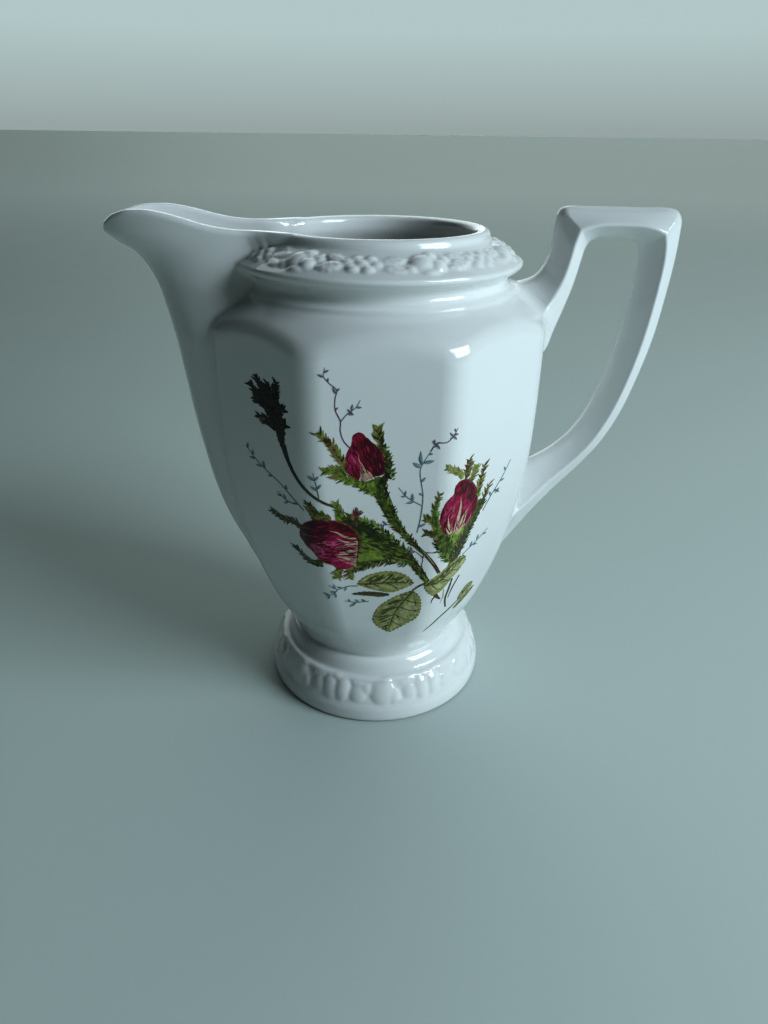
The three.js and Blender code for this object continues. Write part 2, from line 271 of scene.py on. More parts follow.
COLLAR_LUMPS = [  # along the band, across it, half axes, height, turn
    (-0.9, 0.3, 2.9, 2.7, 1.75, 0.2), (2.0, -0.7, 1.9, 2.0, 1.5, 0), (1.0, 2.0, 1.9, 1.4, 1.35, 0.3),
    (-3.4, -1.2, 1.4, 1.3, 0.9, 0), (0.2, -2.4, 1.9, 1.0, 0.85, 0), (3.9, 1.0, 1.4, 1.5, 0.8, 0),
    (10.2, 0.5, 1.5, 1.5, 0.95, 0), (11.5, -1.2, 1.5, 1.3, 1.0, 0), (11.8, 1.5, 1.4, 1.2, 0.9, 0),
    (13.1, 0.1, 1.6, 1.5, 1.15, 0), (14.4, -1.4, 1.4, 1.3, 0.95, 0), (14.7, 1.3, 1.4, 1.3, 1.0, 0),
    (16.0, 0.0, 1.4, 1.3, 0.8, 0)]
COLLAR_LEAVES = [
    (6.9, -0.9, 5.8, 3.0, 0.95, 0.2), (7.4, 1.6, 5.0, 2.4, 0.8, -0.3), (19.2, 0.9, 6.0, 2.8, 0.6, 0.22),
    (19.6, -1.5, 5.2, 2.2, 0.55, -0.2)]
FOOT_LUMPS = [
    (-1.5, 0.0, 2.5, 3.5, 1.25, 0.12), (1.9, 0.1, 2.4, 3.4, 1.4, -0.1), (0.3, 3.0, 1.8, 1.0, 0.7, 0),
    (6.2, -0.5, 2.6, 2.4, 1.0, 0.2), (8.4, 0.9, 1.7, 1.8, 0.75, 0), (12.9, 0.0, 3.6, 3.5, 1.35, 0),
    (15.7, -0.9, 1.9, 2.4, 1.0, 0.2), (13.6, 2.8, 1.9, 1.2, 0.8, 0.2), (20.2, -0.3, 2.4, 2.3, 0.95, -0.3),
    (22.4, 1.1, 1.5, 1.4, 0.65, 0)]
FOOT_LEAVES = [
    (6.4, 2.2, 4.6, 1.7, 0.55, -0.15), (19.6, 2.4, 5.0, 1.8, 0.55, 0.12),
    (18.9, -2.6, 4.4, 1.6, 0.5, 0.1)]


class Relief:
    """Height of a repeating moulded band against the angle round the jug and the way across the band."""

    def __init__(self, band, repeats, phase, lumps, leaves, blur, depth, flip=1):
        (r0, z0), (r1, z1) = band
        self.start, self.width = (r0, z0), math.hypot(r1 - r0, z1 - z0)
        self.dir = ((r1 - r0) / self.width, (z1 - z0) / self.width)
        self.a = np.linspace(-math.pi, math.pi, 2401)
        self.b = np.arange(-2.0, self.width + 2.0, 0.08)
        turn, across = np.meshgrid(self.a, self.b, indexing="ij")
        radius = (r0 + r1) / 2
        period = 2 * math.pi * radius / repeats
        u = (turn - phase) * radius % period
        v = (across - self.width / 2) * flip
        h = np.zeros_like(u)
        for shift in (-period, 0, period):
            for l in lumps:
                h = np.maximum(h, lump(u + shift, v, *l))
            for l in leaves:
                h = np.maximum(h, leaf(u + shift, v, *l))
        h *= np.clip((across + 0.6) / 0.8, 0, 1) * np.clip((self.width + 0.6 - across) / 0.8, 0, 1)
        h *= depth
        for _ in range(blur):
            h = (h + np.roll(h, 1, 0) + np.roll(h, -1, 0) + np.roll(h, 1, 1) + np.roll(h, -1, 1)) / 5
        h[:, :3] = 0
        h[:, -3:] = 0
        self.grid = Field((self.a[0], self.b[0]), 1.0, h)
        self.steps = (self.a[1] - self.a[0], 0.08)

    def __call__(self, turn, r, z):
        across = (r - self.start[0]) * self.dir[0] + (z - self.start[1]) * self.dir[1]
        return self.grid((turn - self.a[0]) / self.steps[0] + self.a[0],
                         (across - self.b[0]) / self.steps[1] + self.b[0])


FRONT = -math.pi / 2
collar_relief = Relief(COLLAR_BAND, 7, FRONT + math.radians(17.7), COLLAR_LUMPS, COLLAR_LEAVES,
                       blur=30, depth=0.66, flip=-1)
foot_relief = Relief(FOOT_BAND, 7, FRONT + math.radians(-23.5), FOOT_LUMPS, FOOT_LEAVES,
                     blur=50, depth=0.52)


# ------------------------------------------------------------------ the jug as one smooth solid
def body_solid(r, turn, z):
    """Round at the foot, eight flat sides above, and a domed shoulder."""
    eighth = math.pi / 4
    off = np.abs(turn - eighth * np.round(turn / eighth))
    corner = corner_at(z)
    slope = corner_at(z + 0.5) - corner_at(z - 0.5)
    flat = smax(r * np.cos(off), r * np.cos(eighth - off), EDGE_ROUNDING) - corner * math.cos(eighth / 2)
    side = (r - corner) + (flat - (r - corner)) * facet_at(z)
    side = side / np.sqrt(1 + slope ** 2)
    dome_slope = (dome_at(z + 0.3) - dome_at(z - 0.3)) / 0.6
    dome = (r - dome_at(z)) / np.sqrt(1 + dome_slope ** 2)
    return smax(side, dome, 2.0)


def foot_solid(r, turn, z):
    d = foot_field(r, z)
    near = (z > 3) & (z < 15.5) & (r > 26)
    if near.any():
        d = d.copy()
        d[near] -= foot_relief(turn[near], r[near], z[near])
    return d


def collar_solid(r, turn, z):
    d = collar_field(r, z)
    near = (z > 112) & (z < 120.4) & (r > 23)
    if near.any():
        d = d.copy()
        d[near] -= collar_relief(turn[near], r[near], z[near])
    return d


def spout_raw(x, y, z):
    """The spout's outer surface before its top is cut: half an ellipse in plan, at every height."""
    def level(zz):
        heart = heart_at(zz)
        reach = heart - keel_at(zz)
        back = np.where(x < heart, reach, 9.0)
        return np.sqrt(((x - heart) / back) ** 2 + (y / half_at(zz)) ** 2), heart, back
    q, heart, back = level(z)
    q = np.maximum(q, 0.08)
    q2, _, _ = level(z + 0.2)
    rise = (np.maximum(q2, 0.08) - q) / 0.2
    gx = (x - heart) / back ** 2 / q
    gy = y / half_at(z) ** 2 / q
    return (q - 1) / np.sqrt(gx ** 2 + gy ** 2 + rise ** 2)


def handle_fields():
    """The handle's outline in the plane y = 0, its half width there, and how steep its sides are."""
    outer = rounded_path([(h[0], h[1]) for h in HANDLE], 5)
    inner = rounded_path([(h[2], h[3]) for h in HANDLE], 5)
    middle = (outer + inner) / 2
    width = rounded_path([(i, h[4]) for i, h in enumerate(HANDLE)], 5)[:, 1]
    low, high = (20, 26), (76, 130)
    a, b = Field.axes(low, high, GRID)
    to_outer, _ = distance_to_path(a, b, outer)
    to_inner, _ = distance_to_path(a, b, inner)
    _, half = distance_to_path(a, b, middle, width)
    ring = np.vstack([outer, inner[::-1]])
    edge, _ = distance_to_path(a, b, looped(ring))
    sheet = np.where(inside_polygon(a, b, ring), -edge, edge)
    flat = HANDLE_FLAT * half / ARM
    thick = np.maximum((to_outer + to_inner) / 2, 1.0)
    slope = (half - flat) / thick
    roof = flat + slope * smin(to_outer, to_inner, 1.0)
    return [Field(low, GRID, values) for values in (sheet, roof, slope)]


handle_sheet, handle_roof, handle_slope = handle_fields()


def handle_solid(x, y, z):
    side = (np.sqrt(y * y + 0.04) - handle_roof(x, z)) / np.sqrt(1 + handle_slope(x, z) ** 2)
    return smax(side, handle_sheet(x, z), 1.3)


def pot_solid(x, y, z):
    """Foot, body, neck and collar without spout, handle or hollow."""
    r, turn = np.hypot(x, y), np.arctan2(y, x)
    d = np.full(x.shape, FAR)
    low = z < 30
    if low.any():
        d[low] = foot_solid(r[low], turn[low], z[low])
    high = z > 100
    if high.any():
        d[high] = collar_solid(r[high], turn[high], z[high])
    mid = (z > 12) & (z < 112)
    if mid.any():
        m = body_solid(r[mid], turn[mid], z[mid])
        m = smax(m, BODY_SPAN[0] - z[mid], 0.3)
        m = smax(m, z[mid] - BODY_SPAN[1], 0.3)
        d[mid] = smin(d[mid], m, np.where(z[mid] < 60, FOOT_JOIN, COLLAR_JOIN))
    return d


def rim_flare(x, y, z, radius, amount, reach, start):
    """How far the spout's top edge widens to run smoothly into the round rim."""
    return amount * np.exp(-((np.hypot(x, y) - radius) / reach) ** 2) * ease(start, 119.6, z)


def hollow(x, y, z, raw):
    """The inside of the pot joined to the spout's channel. raw is the spout's outer surface."""
    r, turn = np.hypot(x, y), np.arctan2(y, x)
    inner = smax(body_solid(r, turn, np.minimum(z, HOLLOW_TOP)) + WALL, WELL - z, 5.0)
    inner = smax(inner, z - HOLLOW_TOP, 0.5)
    d = smin(inner, np.where(z > 94, mouth_field(r, z), FAR), 1.5)
    channel = raw + SPOUT_WALL - rim_flare(x, y, z, 21.6, 1.2, 3.0, 112.0)
    return smin(d, smax(channel, CHANNEL_FLOOR - z, 3.0), 2.6 + 3.0 * ease(108, 117, z))


def jug_parts(x, y, z):
    """Distance to the whole jug, to the bare pot and to the spout or handle beside it."""
    pot = pot_solid(x, y, z)
    solid = pot.copy()
    raw = np.full(x.shape, FAR)
    side = np.full(x.shape, FAR)
    left = (x < SPOUT_START) & (z > SIDES_START)
    if left.any():
        xl, yl, zl = x[left], y[left], z[left]
        raw[left] = spout_raw(xl, yl, zl)
        lip_slope = (lip_at(xl + 0.3) - lip_at(xl - 0.3)) / 0.6
        top = (zl - lip_at(xl)) / np.sqrt(1 + lip_slope ** 2)
        side[left] = smax(raw[left] - rim_flare(xl, yl, zl, 25.4, 2.6, 3.2, 115.8), top, 1.2)
        # the fillet is wider along the keel's lower end, and again where the lip runs into the rim
        beside = np.abs(yl) - half_at(zl) + 0.4 * (-24 - xl)
        wide = (1 - ease(38, 60, zl)) * (1 - ease(0, 9, beside))
        fillet = SPOUT_JOIN + 3.4 * wide + 2.4 * ease(116.5, 119.2, zl)
        solid[left] = smin(solid[left], side[left], fillet)
        above = (zl - np.maximum(lip_at(xl), RIM)) / np.sqrt(1 + lip_slope ** 2)
        solid[left] = np.maximum(solid[left], above)
    right = (x > HANDLE_START) & (z > SIDES_START)
    if right.any():
        side[right] = handle_solid(x[right], y[right], z[right])
        solid[right] = smin(solid[right], side[right], HANDLE_JOIN)
    return smax(solid, -hollow(x, y, z, raw), 0.9), pot, side


def jug(x, y, z):
    return jug_parts(x, y, z)[0]


PIECES = ("foot", "body", "neck", "collar", "spout", "handle")


def label_points(x, y, z):
    """0 outside, then 1 to 6 for the piece that a point of the jug belongs to."""
    d, pot, side = jug_parts(x, y, z)
    by_height = 1 + np.searchsorted(np.array(CUTS), z)
    lab = np.where((pot > 0) & (side < pot), np.where(x < 0, 5, 6), by_height)
    return np.where(d < 0, lab, 0).astype(np.int8), d


def gradient(p, e=0.12):
    """Slope of the jug's distance field, from four probes at the corners of a tetrahedron."""
    k = np.array([(1, -1, -1), (-1, -1, 1), (-1, 1, -1), (1, 1, 1)], float)
    g = np.zeros_like(p)
    for s in k:
        q = p + e * s
        g += s * jug(q[:, 0], q[:, 1], q[:, 2])[:, None]
    return g / (4 * e)


SPAN = ((-66.0, -40.5, -2.0), (73.0, 40.5, 128.5))


def build_jug(step):
    """Labels on a regular grid over SPAN: one look at every block, and all of it near the surface."""
    low, high = np.array(SPAN)
    block = 4
    n = np.ceil((high - low) / step / block).astype(int)
    ci, cj, ck = np.meshgrid(*(np.arange(m) for m in n), indexing="ij")
    centre = [low[a] + (c * block + (block - 1) / 2) * step for a, c in enumerate((ci, cj, ck))]
    lab, d = label_points(*(c.ravel() for c in centre))
    full = np.repeat(np.repeat(np.repeat(lab.reshape(n), block, 0), block, 1), block, 2)
    near = np.abs(d) < block * step * 0.9 * 1.5 + 0.4
    blocks = np.stack([c.ravel()[near] for c in (ci, cj, ck)], 1)
    o = np.stack(np.meshgrid(*(np.arange(block),) * 3, indexing="ij"), -1).reshape(-1, 3)
    for part in np.array_split(blocks, max(1, len(blocks) // 12000)):
        v = (part[:, None, :] * block + o[None]).reshape(-1, 3)
        p = low + v * step
        full[v[:, 0], v[:, 1], v[:, 2]] = label_points(p[:, 0], p[:, 1], p[:, 2])[0]
    return low, full


def wrap(low, full, step):
    """One net of quads over every change of label, with the labels on both sides of each quad."""
    cells = np.array(full.shape) - 1
    quads, sides = [], []
    for axis in range(3):
        a = np.take(full, range(full.shape[axis] - 1), axis)
        b = np.take(full, range(1, full.shape[axis]), axis)
        at = np.argwhere(a != b)
        la, lb = a[tuple(at.T)], b[tuple(at.T)]
        u, v = (axis + 1) % 3, (axis + 2) % 3
        ring = []
        for du, dv in ((-1, -1), (0, -1), (0, 0), (-1, 0)):
            c = at.copy()
            c[:, u] += du
            c[:, v] += dv
            ring.append((c[:, 0] * cells[1] + c[:, 1]) * cells[2] + c[:, 2])
        quads.append(np.stack(ring, 1))
        sides.append(np.stack([la, lb], 1))
    quads, sides = np.vstack(quads), np.vstack(sides)
    used, quads = np.unique(quads, return_inverse=True)
    quads = quads.reshape(-1, 4)
    i, rest = np.divmod(used, cells[1] * cells[2])
    j, k = np.divmod(rest, cells[2])
    points = low + (np.stack([i, j, k], 1) + 0.5) * step
    return points, quads, sides


def settle(points, quads, sides, step):
    """Moves the net onto the true surface, evens it out, and returns the surface normals."""
    skin = np.any(sides == 0, 1)
    q = quads[skin]
    on = np.zeros(len(points), bool)
    on[q.ravel()] = True
    ids = np.flatnonzero(on)
    remap = np.full(len(points), -1)
    remap[ids] = np.arange(len(ids))
    ql = remap[q]
    p = points[ids]

    def project(p, times):
        for _ in range(times):
            g = gradient(p)
            n2 = np.maximum((g * g).sum(1), 0.05)
            move = jug(p[:, 0], p[:, 1], p[:, 2]) / n2
            p = p - g * np.clip(move, -0.7 * step, 0.7 * step)[:, None]
        return p

    p = project(p, 2)
    for _ in range(2):
        total = np.zeros_like(p)
        count = np.zeros(len(p))
        for a in range(4):
            for b in ((a + 1) % 4, (a - 1) % 4):
                for c in range(3):
                    total[:, c] += np.bincount(ql[:, a], p[ql[:, b], c], len(p))
                count += np.bincount(ql[:, a], minlength=len(p))
        p = project(p + 0.5 * (total / count[:, None] - p), 1)
    p = project(p, 1)
    g = gradient(p, 0.1)
    n = g / np.maximum(np.linalg.norm(g, axis=1), 1e-6)[:, None]
    points = points.copy()
    points[ids] = p
    normals = np.zeros_like(points)
    normals[ids] = n
    return points, normals, on


def to_frame(p):
    return (p / 1000 + AXIS).astype(np.float32)


def mesh_object(name, points, groups, normals, flat_groups=None):
    """Object from numpy points and groups of faces (quads, triangles), with the given normal at each
    point except on the faces marked flat."""
    mesh = bpy.data.meshes.new(name)
    groups = [np.asarray(f) for f in groups]
    loops = np.concatenate([f.ravel() for f in groups]).astype(np.int32)
    starts, at = [], 0
    for f in groups:
        starts.append(at + np.arange(len(f)) * f.shape[1])
        at += f.size
    mesh.vertices.add(len(points))
    mesh.vertices.foreach_set("co", to_frame(points).ravel())
    mesh.loops.add(len(loops))
    mesh.loops.foreach_set("vertex_index", loops)
    starts = np.concatenate(starts).astype(np.int32)
    mesh.polygons.add(len(starts))
    mesh.polygons.foreach_set("loop_start", starts)
    mesh.update(calc_edges=True)
    mesh.polygons.foreach_set("use_smooth", np.ones(len(starts), bool))
    if flat_groups is not None:
        # every edge of a flat face is sharp, so the skin's normals never mix with those of the joins
        flat_loops = np.concatenate([np.repeat(flat, f.shape[1]) for f, flat in zip(groups, flat_groups)])
        edge_of = np.zeros(len(loops), np.int32)
        mesh.loops.foreach_get("edge_index", edge_of)
        sharp = np.zeros(len(mesh.edges), bool)
        sharp[edge_of[flat_loops]] = True
        mesh.edges.foreach_set("use_edge_sharp", sharp)
    corner = normals[loops].copy()
    at = 0
    for f, flat in zip(groups, flat_groups or [None] * len(groups)):
        if flat is not None and flat.any():
            n = np.cross(points[f[:, 1]] - points[f[:, 0]], points[f[:, 2]] - points[f[:, 0]])
            n /= np.maximum(np.linalg.norm(n, axis=1), 1e-9)[:, None]
            pick = at + np.flatnonzero(np.repeat(flat, f.shape[1]))
            corner[pick] = np.repeat(n, f.shape[1], 0)[pick - at]
        at += f.size
    mesh.normals_split_custom_set(corner.astype(np.float32))
    mesh.update()
    obj = bpy.data.objects.new(name, mesh)
    bpy.context.scene.collection.objects.link(obj)
    return obj


# Where two pieces meet, the join's faces lie inside the porcelain, out of sight.
JOIN_DEPTH, FAN_DEPTH = 0.45, 0.4
low, full = build_jug(STEP)
points, quads, sides = wrap(low, full, STEP)
points, normals, on_skin = settle(points, quads, sides, STEP)
under = np.flatnonzero(~on_skin)
depth = jug(*points[under].T) + JOIN_DEPTH
under, depth = under[depth > 0], depth[depth > 0]
slope = gradient(points[under])
points[under] -= slope * (depth / np.maximum((slope * slope).sum(1), 0.25))[:, None]

# A join face with three or four corners on the skin would bridge the crease, so it becomes a fan
# round a point sunk inside.
join = np.all(sides != 0, 1)
shallow = join & (on_skin[quads].sum(1) >= 3)
inward = normals[quads[shallow]].sum(1)
inward /= np.maximum(np.linalg.norm(inward, axis=1), 1e-9)[:, None]
apexes = points[quads[shallow]].mean(1) - FAN_DEPTH * inward
apex_ids = len(points) + np.arange(len(apexes))
points = np.vstack([points, apexes])
normals = np.vstack([normals, inward])
corners = quads[shallow]
fans = np.concatenate([np.stack([corners[:, i], corners[:, (i + 1) % 4], apex_ids], 1) for i in range(4)])
fan_sides = np.concatenate([sides[shallow]] * 4)
quads, sides = quads[~shallow], sides[~shallow]

jug_objects = {}
for number, name in enumerate(PIECES, start=1):
    groups, flats = [], []
    for faces, side in ((quads, sides), (fans, fan_sides)):
        first, last = side[:, 0] == number, side[:, 1] == number
        groups.append(np.vstack([faces[first], faces[last][:, ::-1]]))
        flats.append(np.concatenate([side[first][:, 1] != 0, side[last][:, 0] != 0]))
    used = np.unique(np.concatenate([f.ravel() for f in groups]))
    place = np.zeros(len(points), int)
    place[used] = np.arange(len(used))
    obj = mesh_object("porcelain_" + name, points[used], [place[f] for f in groups], normals[used], flats)
    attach(obj, "root")
    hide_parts(name)
    jug_objects[name] = obj


# ------------------------------------------------------------------ the printed spray of rosebuds
# Drawn in millimetres on the jug's camera side, x across and z up, and laid over the glaze as thin
# closed films of enamel that follow its surface. Each layer lies LAYER_LIFT above the one before.
# Everything here draws from one seeded generator, so the order of the calls is part of the drawing.
rng = np.random.default_rng(11)
ART = {}
INK = {  # linear colour, and how far it varies
    "maroon": ((0.075, 0.003, 0.012), 0.4), "crimson": ((0.225, 0.006, 0.032), 0.4),
    "magenta": ((0.40, 0.014, 0.09), 0.35), "pink": ((0.53, 0.13, 0.25), 0.25),
    "cream": ((0.60, 0.48, 0.33), 0.2), "black_green": ((0.010, 0.014, 0.006), 0.4),
    "moss_dark": ((0.028, 0.040, 0.010), 0.5), "moss": ((0.085, 0.125, 0.018), 0.45),
    "moss_bright": ((0.23, 0.30, 0.055), 0.35), "ochre": ((0.25, 0.19, 0.07), 0.35),
    "brown": ((0.085, 0.045, 0.02), 0.4),
    "leaf": ((0.34, 0.34, 0.12), 0.3), "leaf_pale": ((0.47, 0.47, 0.24), 0.25),
    "leaf_dark": ((0.095, 0.10, 0.035), 0.4), "stem_red": ((0.14, 0.026, 0.03), 0.3),
    "teal": ((0.14, 0.22, 0.25), 0.3), "mist": ((0.27, 0.37, 0.41), 0.2),
    "violet": ((0.17, 0.075, 0.15), 0.3)}


def unit(v):
    return v / max(np.linalg.norm(v), 1e-9)


def toward(turn):
    return np.array([math.cos(turn), math.sin(turn)])


def left_of(way):
    return np.array([-way[1], way[0]])


def outward(edge):
    """Unit normals of a closed outline, one for each point."""
    out = np.roll(edge, -1, 0) - np.roll(edge, 1, 0)
    return np.stack([out[:, 1], -out[:, 0]], 1) / np.maximum(np.linalg.norm(out, axis=1), 1e-6)[:, None]


def stretch(path, t):
    """The stretch of a polyline that holds the share t of it: its number and its direction."""
    i = min(int(t * (len(path) - 1)), len(path) - 2)
    return i, path[i + 1] - path[i]


def closed_path(points, per=5):
    p = np.asarray(points, float)
    n = len(p)
    wrapped = np.vstack([p[-2:], p, p[:3]])
    q = rounded_path(wrapped, per)
    return q[2 * per:(2 + n) * per]


def spaced(path, gap, closed):
    """The same line with its points at even distances of at most gap, and never fewer than three."""
    p = looped(path) if closed else path
    run = np.concatenate([[0], np.cumsum(np.linalg.norm(np.diff(p, axis=0), axis=1))])
    count = max(3, int(math.ceil(run[-1] / gap)) + 1)
    t = np.linspace(0, run[-1], count)
    out = np.stack([np.interp(t, run, p[:, 0]), np.interp(t, run, p[:, 1])], 1)
    return out[:-1] if closed else out


def lay(ink, layer, verts, tris):
    """Keeps a flat film for ink_object, which lays the films of each colour on the jug."""
    ART.setdefault(ink, []).append((layer, np.asarray(verts, float), np.asarray(tris, int)))


OUTLINE_GAP, SEED_CLEARANCE = 0.32, 0.22   # mm
FINE, COARSE = 0.42, 0.8   # gaps between the seeds inside a shape
MIDDLE_PANEL = 12   # half width of the middle panel, short of its rounded edges


def patch(ink, layer, points, smooth=True, ragged=0.0):
    """A filled shape. Its outline may be made slightly uneven, as brushed enamel is."""
    edge = spaced(closed_path(points) if smooth else np.asarray(points, float), OUTLINE_GAP, True)
    if ragged:
        edge = edge + outward(edge) * rng.normal(0, ragged, len(edge))[:, None]
    low, high = edge.min(0), edge.max(0)
    # seeds lie closer where the drawing leaves the middle panel and bends round an edge
    gap = FINE if max(abs(low[0]), abs(high[0])) > MIDDLE_PANEL else COARSE
    across, up = (np.arange(low[i] + gap / 2, high[i], gap) for i in (0, 1))
    a, b = (grid.ravel() for grid in np.meshgrid(across, up))
    keep = inside_polygon(a, b, edge) & (distance_to_path(a, b, looped(edge))[0] > SEED_CLEARANCE)
    seeds = np.stack([a[keep], b[keep]], 1)
    verts = [Vector(v) for v in np.vstack([edge, seeds])]
    n = len(edge)
    made, _, faces, _, _, _ = delaunay_2d_cdt(verts, [], [list(range(n))], 1, 1e-6)
    lay(ink, layer, [tuple(v) for v in made], faces)


def stroke(ink, layer, points, widths, gap=0.35, curved=True):
    """A brush stroke along the points. widths are spread evenly from its start to its end."""
    path = rounded_path(points, 5) if curved and len(points) > 2 else np.asarray(points, float)
    path = spaced(path, gap, False)
    n = len(path)
    w = np.interp(np.linspace(0, 1, n), np.linspace(0, 1, len(widths)), widths) / 2
    t = np.gradient(path, axis=0)
    t /= np.maximum(np.linalg.norm(t, axis=1), 1e-9)[:, None]
    side = np.stack([-t[:, 1], t[:, 0]], 1) * np.maximum(w, 0.02)[:, None]
    verts = np.vstack([path + side, path - side])
    i = np.arange(n - 1)
    tris = np.vstack([np.stack([i, i + n, i + n + 1], 1), np.stack([i, i + n + 1, i + 1], 1)])
    lay(ink, layer, verts, tris)


BRISTLES = 1.3  # how much denser every mossy edge is than its stated count


def moss(path, half, inks, layer, count, length, lean=0.9, both=True, width=0.3):
    """Mossy bristles that spring from a stem or calyx, leaning towards its far end."""
    path, inks = rounded_path(path, 6), inks.split()
    count = int(count * BRISTLES)
    for k in range(count):
        t = (k + rng.uniform(0.1, 0.9)) / count
        i, d = stretch(path, t)
        p = path[i] + d * (t * (len(path) - 1) - i)
        d = unit(d)
        n = left_of(d) * (1 if (k % 2 or not both) else -1)
        h = np.interp(t, np.linspace(0, 1, len(half)), half)
        root = p + n * h * rng.uniform(0.25, 0.9)
        way = n * rng.uniform(0.7, 1.1) + d * lean * rng.uniform(0.6, 1.3)
        way = way / np.linalg.norm(way)
        size = length * rng.uniform(0.5, 1.05)
        bend = left_of(way) * rng.uniform(-0.18, 0.18) * size
        stroke(inks[rng.integers(len(inks))], layer + int(rng.integers(3)),
               [root - way * 0.25 * size, root + way * 0.45 * size + bend, root + way * size],
               [width, width * rng.uniform(1.2, 1.9), width * 0.9, 0.05])


def texture(path, half, inks, layer, count, length, width=0.28):
    """Short strokes laid inside a calyx or stem, along its length."""
    path, inks = rounded_path(path, 6), inks.split()
    for _ in range(count):
        t = rng.uniform(0.02, 0.98)
        i, d = stretch(path, t)
        d = unit(d)
        n = left_of(d)
        h = np.interp(t, np.linspace(0, 1, len(half)), half)
        p = path[i] + n * h * rng.uniform(-0.9, 0.9)
        way = d + n * rng.uniform(-0.45, 0.45)
        size = length * rng.uniform(0.5, 1.2)
        stroke(inks[rng.integers(len(inks))], layer + int(rng.integers(3)),
               [p, p + way * size * 0.5, p + way * size], [0.05, width, 0.04])


def brushed(outline, inks, layer, count, aim, length, width=0.34, spread=0.3):
    """Overlapping brush marks that fill a shape and break up its flat colour."""
    edge, inks = closed_path(outline), inks.split()
    low, high = edge.min(0), edge.max(0)
    made = 0
    for _ in range(count * 5):
        at = rng.uniform(low, high)
        turn = aim + rng.uniform(-spread, spread)
        way = toward(turn) * length * rng.uniform(0.3, 0.6)
        mark = np.stack([at - way, at + left_of(way) * rng.uniform(-0.2, 0.2), at + way])
        if inside_polygon(mark[:, 0], mark[:, 1], edge).all():
            stroke(inks[made % len(inks)], layer + made % 3, mark, [0.05, width, width * 0.8, 0.05])
            made += 1
        if made == count:
            break


def leaflet(ink, layer, at, angle, length, width):
    """A small pointed leaf of a sprig: a pale body with a darker edge on one side."""
    way = toward(angle)
    side = left_of(way) * width * 0.3
    root = np.asarray(at, float)
    middle, tip = root + way * length * 0.5, root + way * length
    stroke("mist", layer, [root, middle, tip], [0.08, width, width * 0.85, 0.05], 0.25)
    stroke(ink, layer + 1, [root, middle + side, tip], [0.16, 0.24, 0.2, 0.05], 0.25)


def sprig(ink, points, leaves, layer=2, thick=0.22):
    """A thin stem with leaflets, each given by its place along the stem, its side and its length."""
    stroke(ink, layer, points, [thick, thick, thick * 0.8, 0.1])
    path = rounded_path(points, 8)
    for t, side, length in leaves:
        i, d = stretch(path, t)
        leaflet(ink, layer + 1, path[i], math.atan2(d[1], d[0]) + side * 0.85, length, 0.28 * length + 0.16)


def flower(at, size):
    """A tiny four-petalled flower."""
    for k in range(4):
        turn = 0.7 + k * math.pi / 2
        leaflet("violet", 4, at, turn, size * (0.8 + 0.25 * (k % 2)), 0.42 * size)


def leaf_shape(outline, ribs, midrib, shade, teeth=0.36):
    """A toothed leaf: pale and dark marks run from the midrib to the edge, darker on one side, which
    shade names as 1 or -1."""
    edge = spaced(closed_path(outline), 0.3, True)
    saw = np.array([0, 0.5, 1, 0.2])[np.arange(len(edge)) % 4] * teeth
    patch("leaf_dark", 4, edge + outward(edge) * (saw + 0.04)[:, None], smooth=False)
    centre = edge.mean(0)
    inner = centre + (edge - centre) * 0.95
    patch("leaf", 5, inner, smooth=False, ragged=0.04)
    spine = spaced(rounded_path(midrib, 6), 0.34, False)
    reach = np.linspace(0.1, 8, 40)
    for k in range(1, len(spine) - 1):
        way = spine[k + 1] - spine[k - 1]
        way = way / np.linalg.norm(way)
        for side in (1, -1):
            turn = math.atan2(way[1], way[0]) + side * rng.uniform(0.75, 1.05)
            ray = toward(turn)
            line = spine[k] + ray * reach[:, None]
            room = reach[inside_polygon(line[:, 0], line[:, 1], inner)]
            if not len(room):
                continue
            # to the edge, or hardly anywhere if the ray leaves the leaf and comes back in
            room = room.max() if len(room) == np.argmax(reach > room.max() - 1e-9) + 1 else room[0]
            low, high = sorted(rng.uniform(0.05, 0.95, 2))
            a, b = spine[k] + ray * room * low, spine[k] + ray * room * high
            bend = way * 0.12 * room
            dark = rng.uniform() < (0.6 if side == shade else 0.12)
            stroke("leaf_dark" if dark else "leaf_pale", 6 + k % 2, [a, (a + b) / 2 + bend * 0.5, b + bend],
                   [0.06, 0.36, 0.3, 0.05] if dark else [0.06, 0.62, 0.5, 0.05])
            if k % 3 == 0:
                a, b = spine[k] + ray * room * 0.2, spine[k] + ray * room * 0.8
                stroke("moss" if side == shade else "leaf_pale", 6,
                       [a, (a + b) / 2 + bend * 0.4, b + bend * 0.8], [0.06, 0.75, 0.6, 0.05])
    stroke("leaf_dark", 9, midrib, [0.42, 0.34, 0.14])
    for rib in ribs:
        stroke("leaf_dark", 9, rib, [0.34, 0.24, 0.08])


def fan_streaks(inks, layer, roots, aim, spread, length, width, count):
    """Streaks fanned out from a calyx over the petals."""
    inks = inks.split()
    for k in range(count):
        root = np.array(roots[0]) + (np.array(roots[1]) - np.array(roots[0])) * (k + 0.5) / count
        turn = aim + spread * ((k + 0.5) / count - 0.5) * 2 + rng.uniform(-0.12, 0.12)
        size = length * rng.uniform(0.55, 1.15)
        way = toward(turn)
        bend = left_of(way) * rng.uniform(-0.2, 0.2) * size
        stroke(inks[k % len(inks)], layer, [root, root + way * size * 0.5 + bend, root + way * size],
               [width * 1.5, width, 0.04])


def sepals(rows, half, more, count, length, width):
    """Each sepal is a broad stroke under a narrow one, with moss on both sides in those inks and more."""
    for path, widths, under, over in rows:
        stroke(under, 3, path, [w * 1.4 for w in widths])
        stroke(over, 4, path, [w * 0.5 for w in widths])
        moss(path, half, f"{under} {over} {more}", 3, count, length, 1.1, True, width)


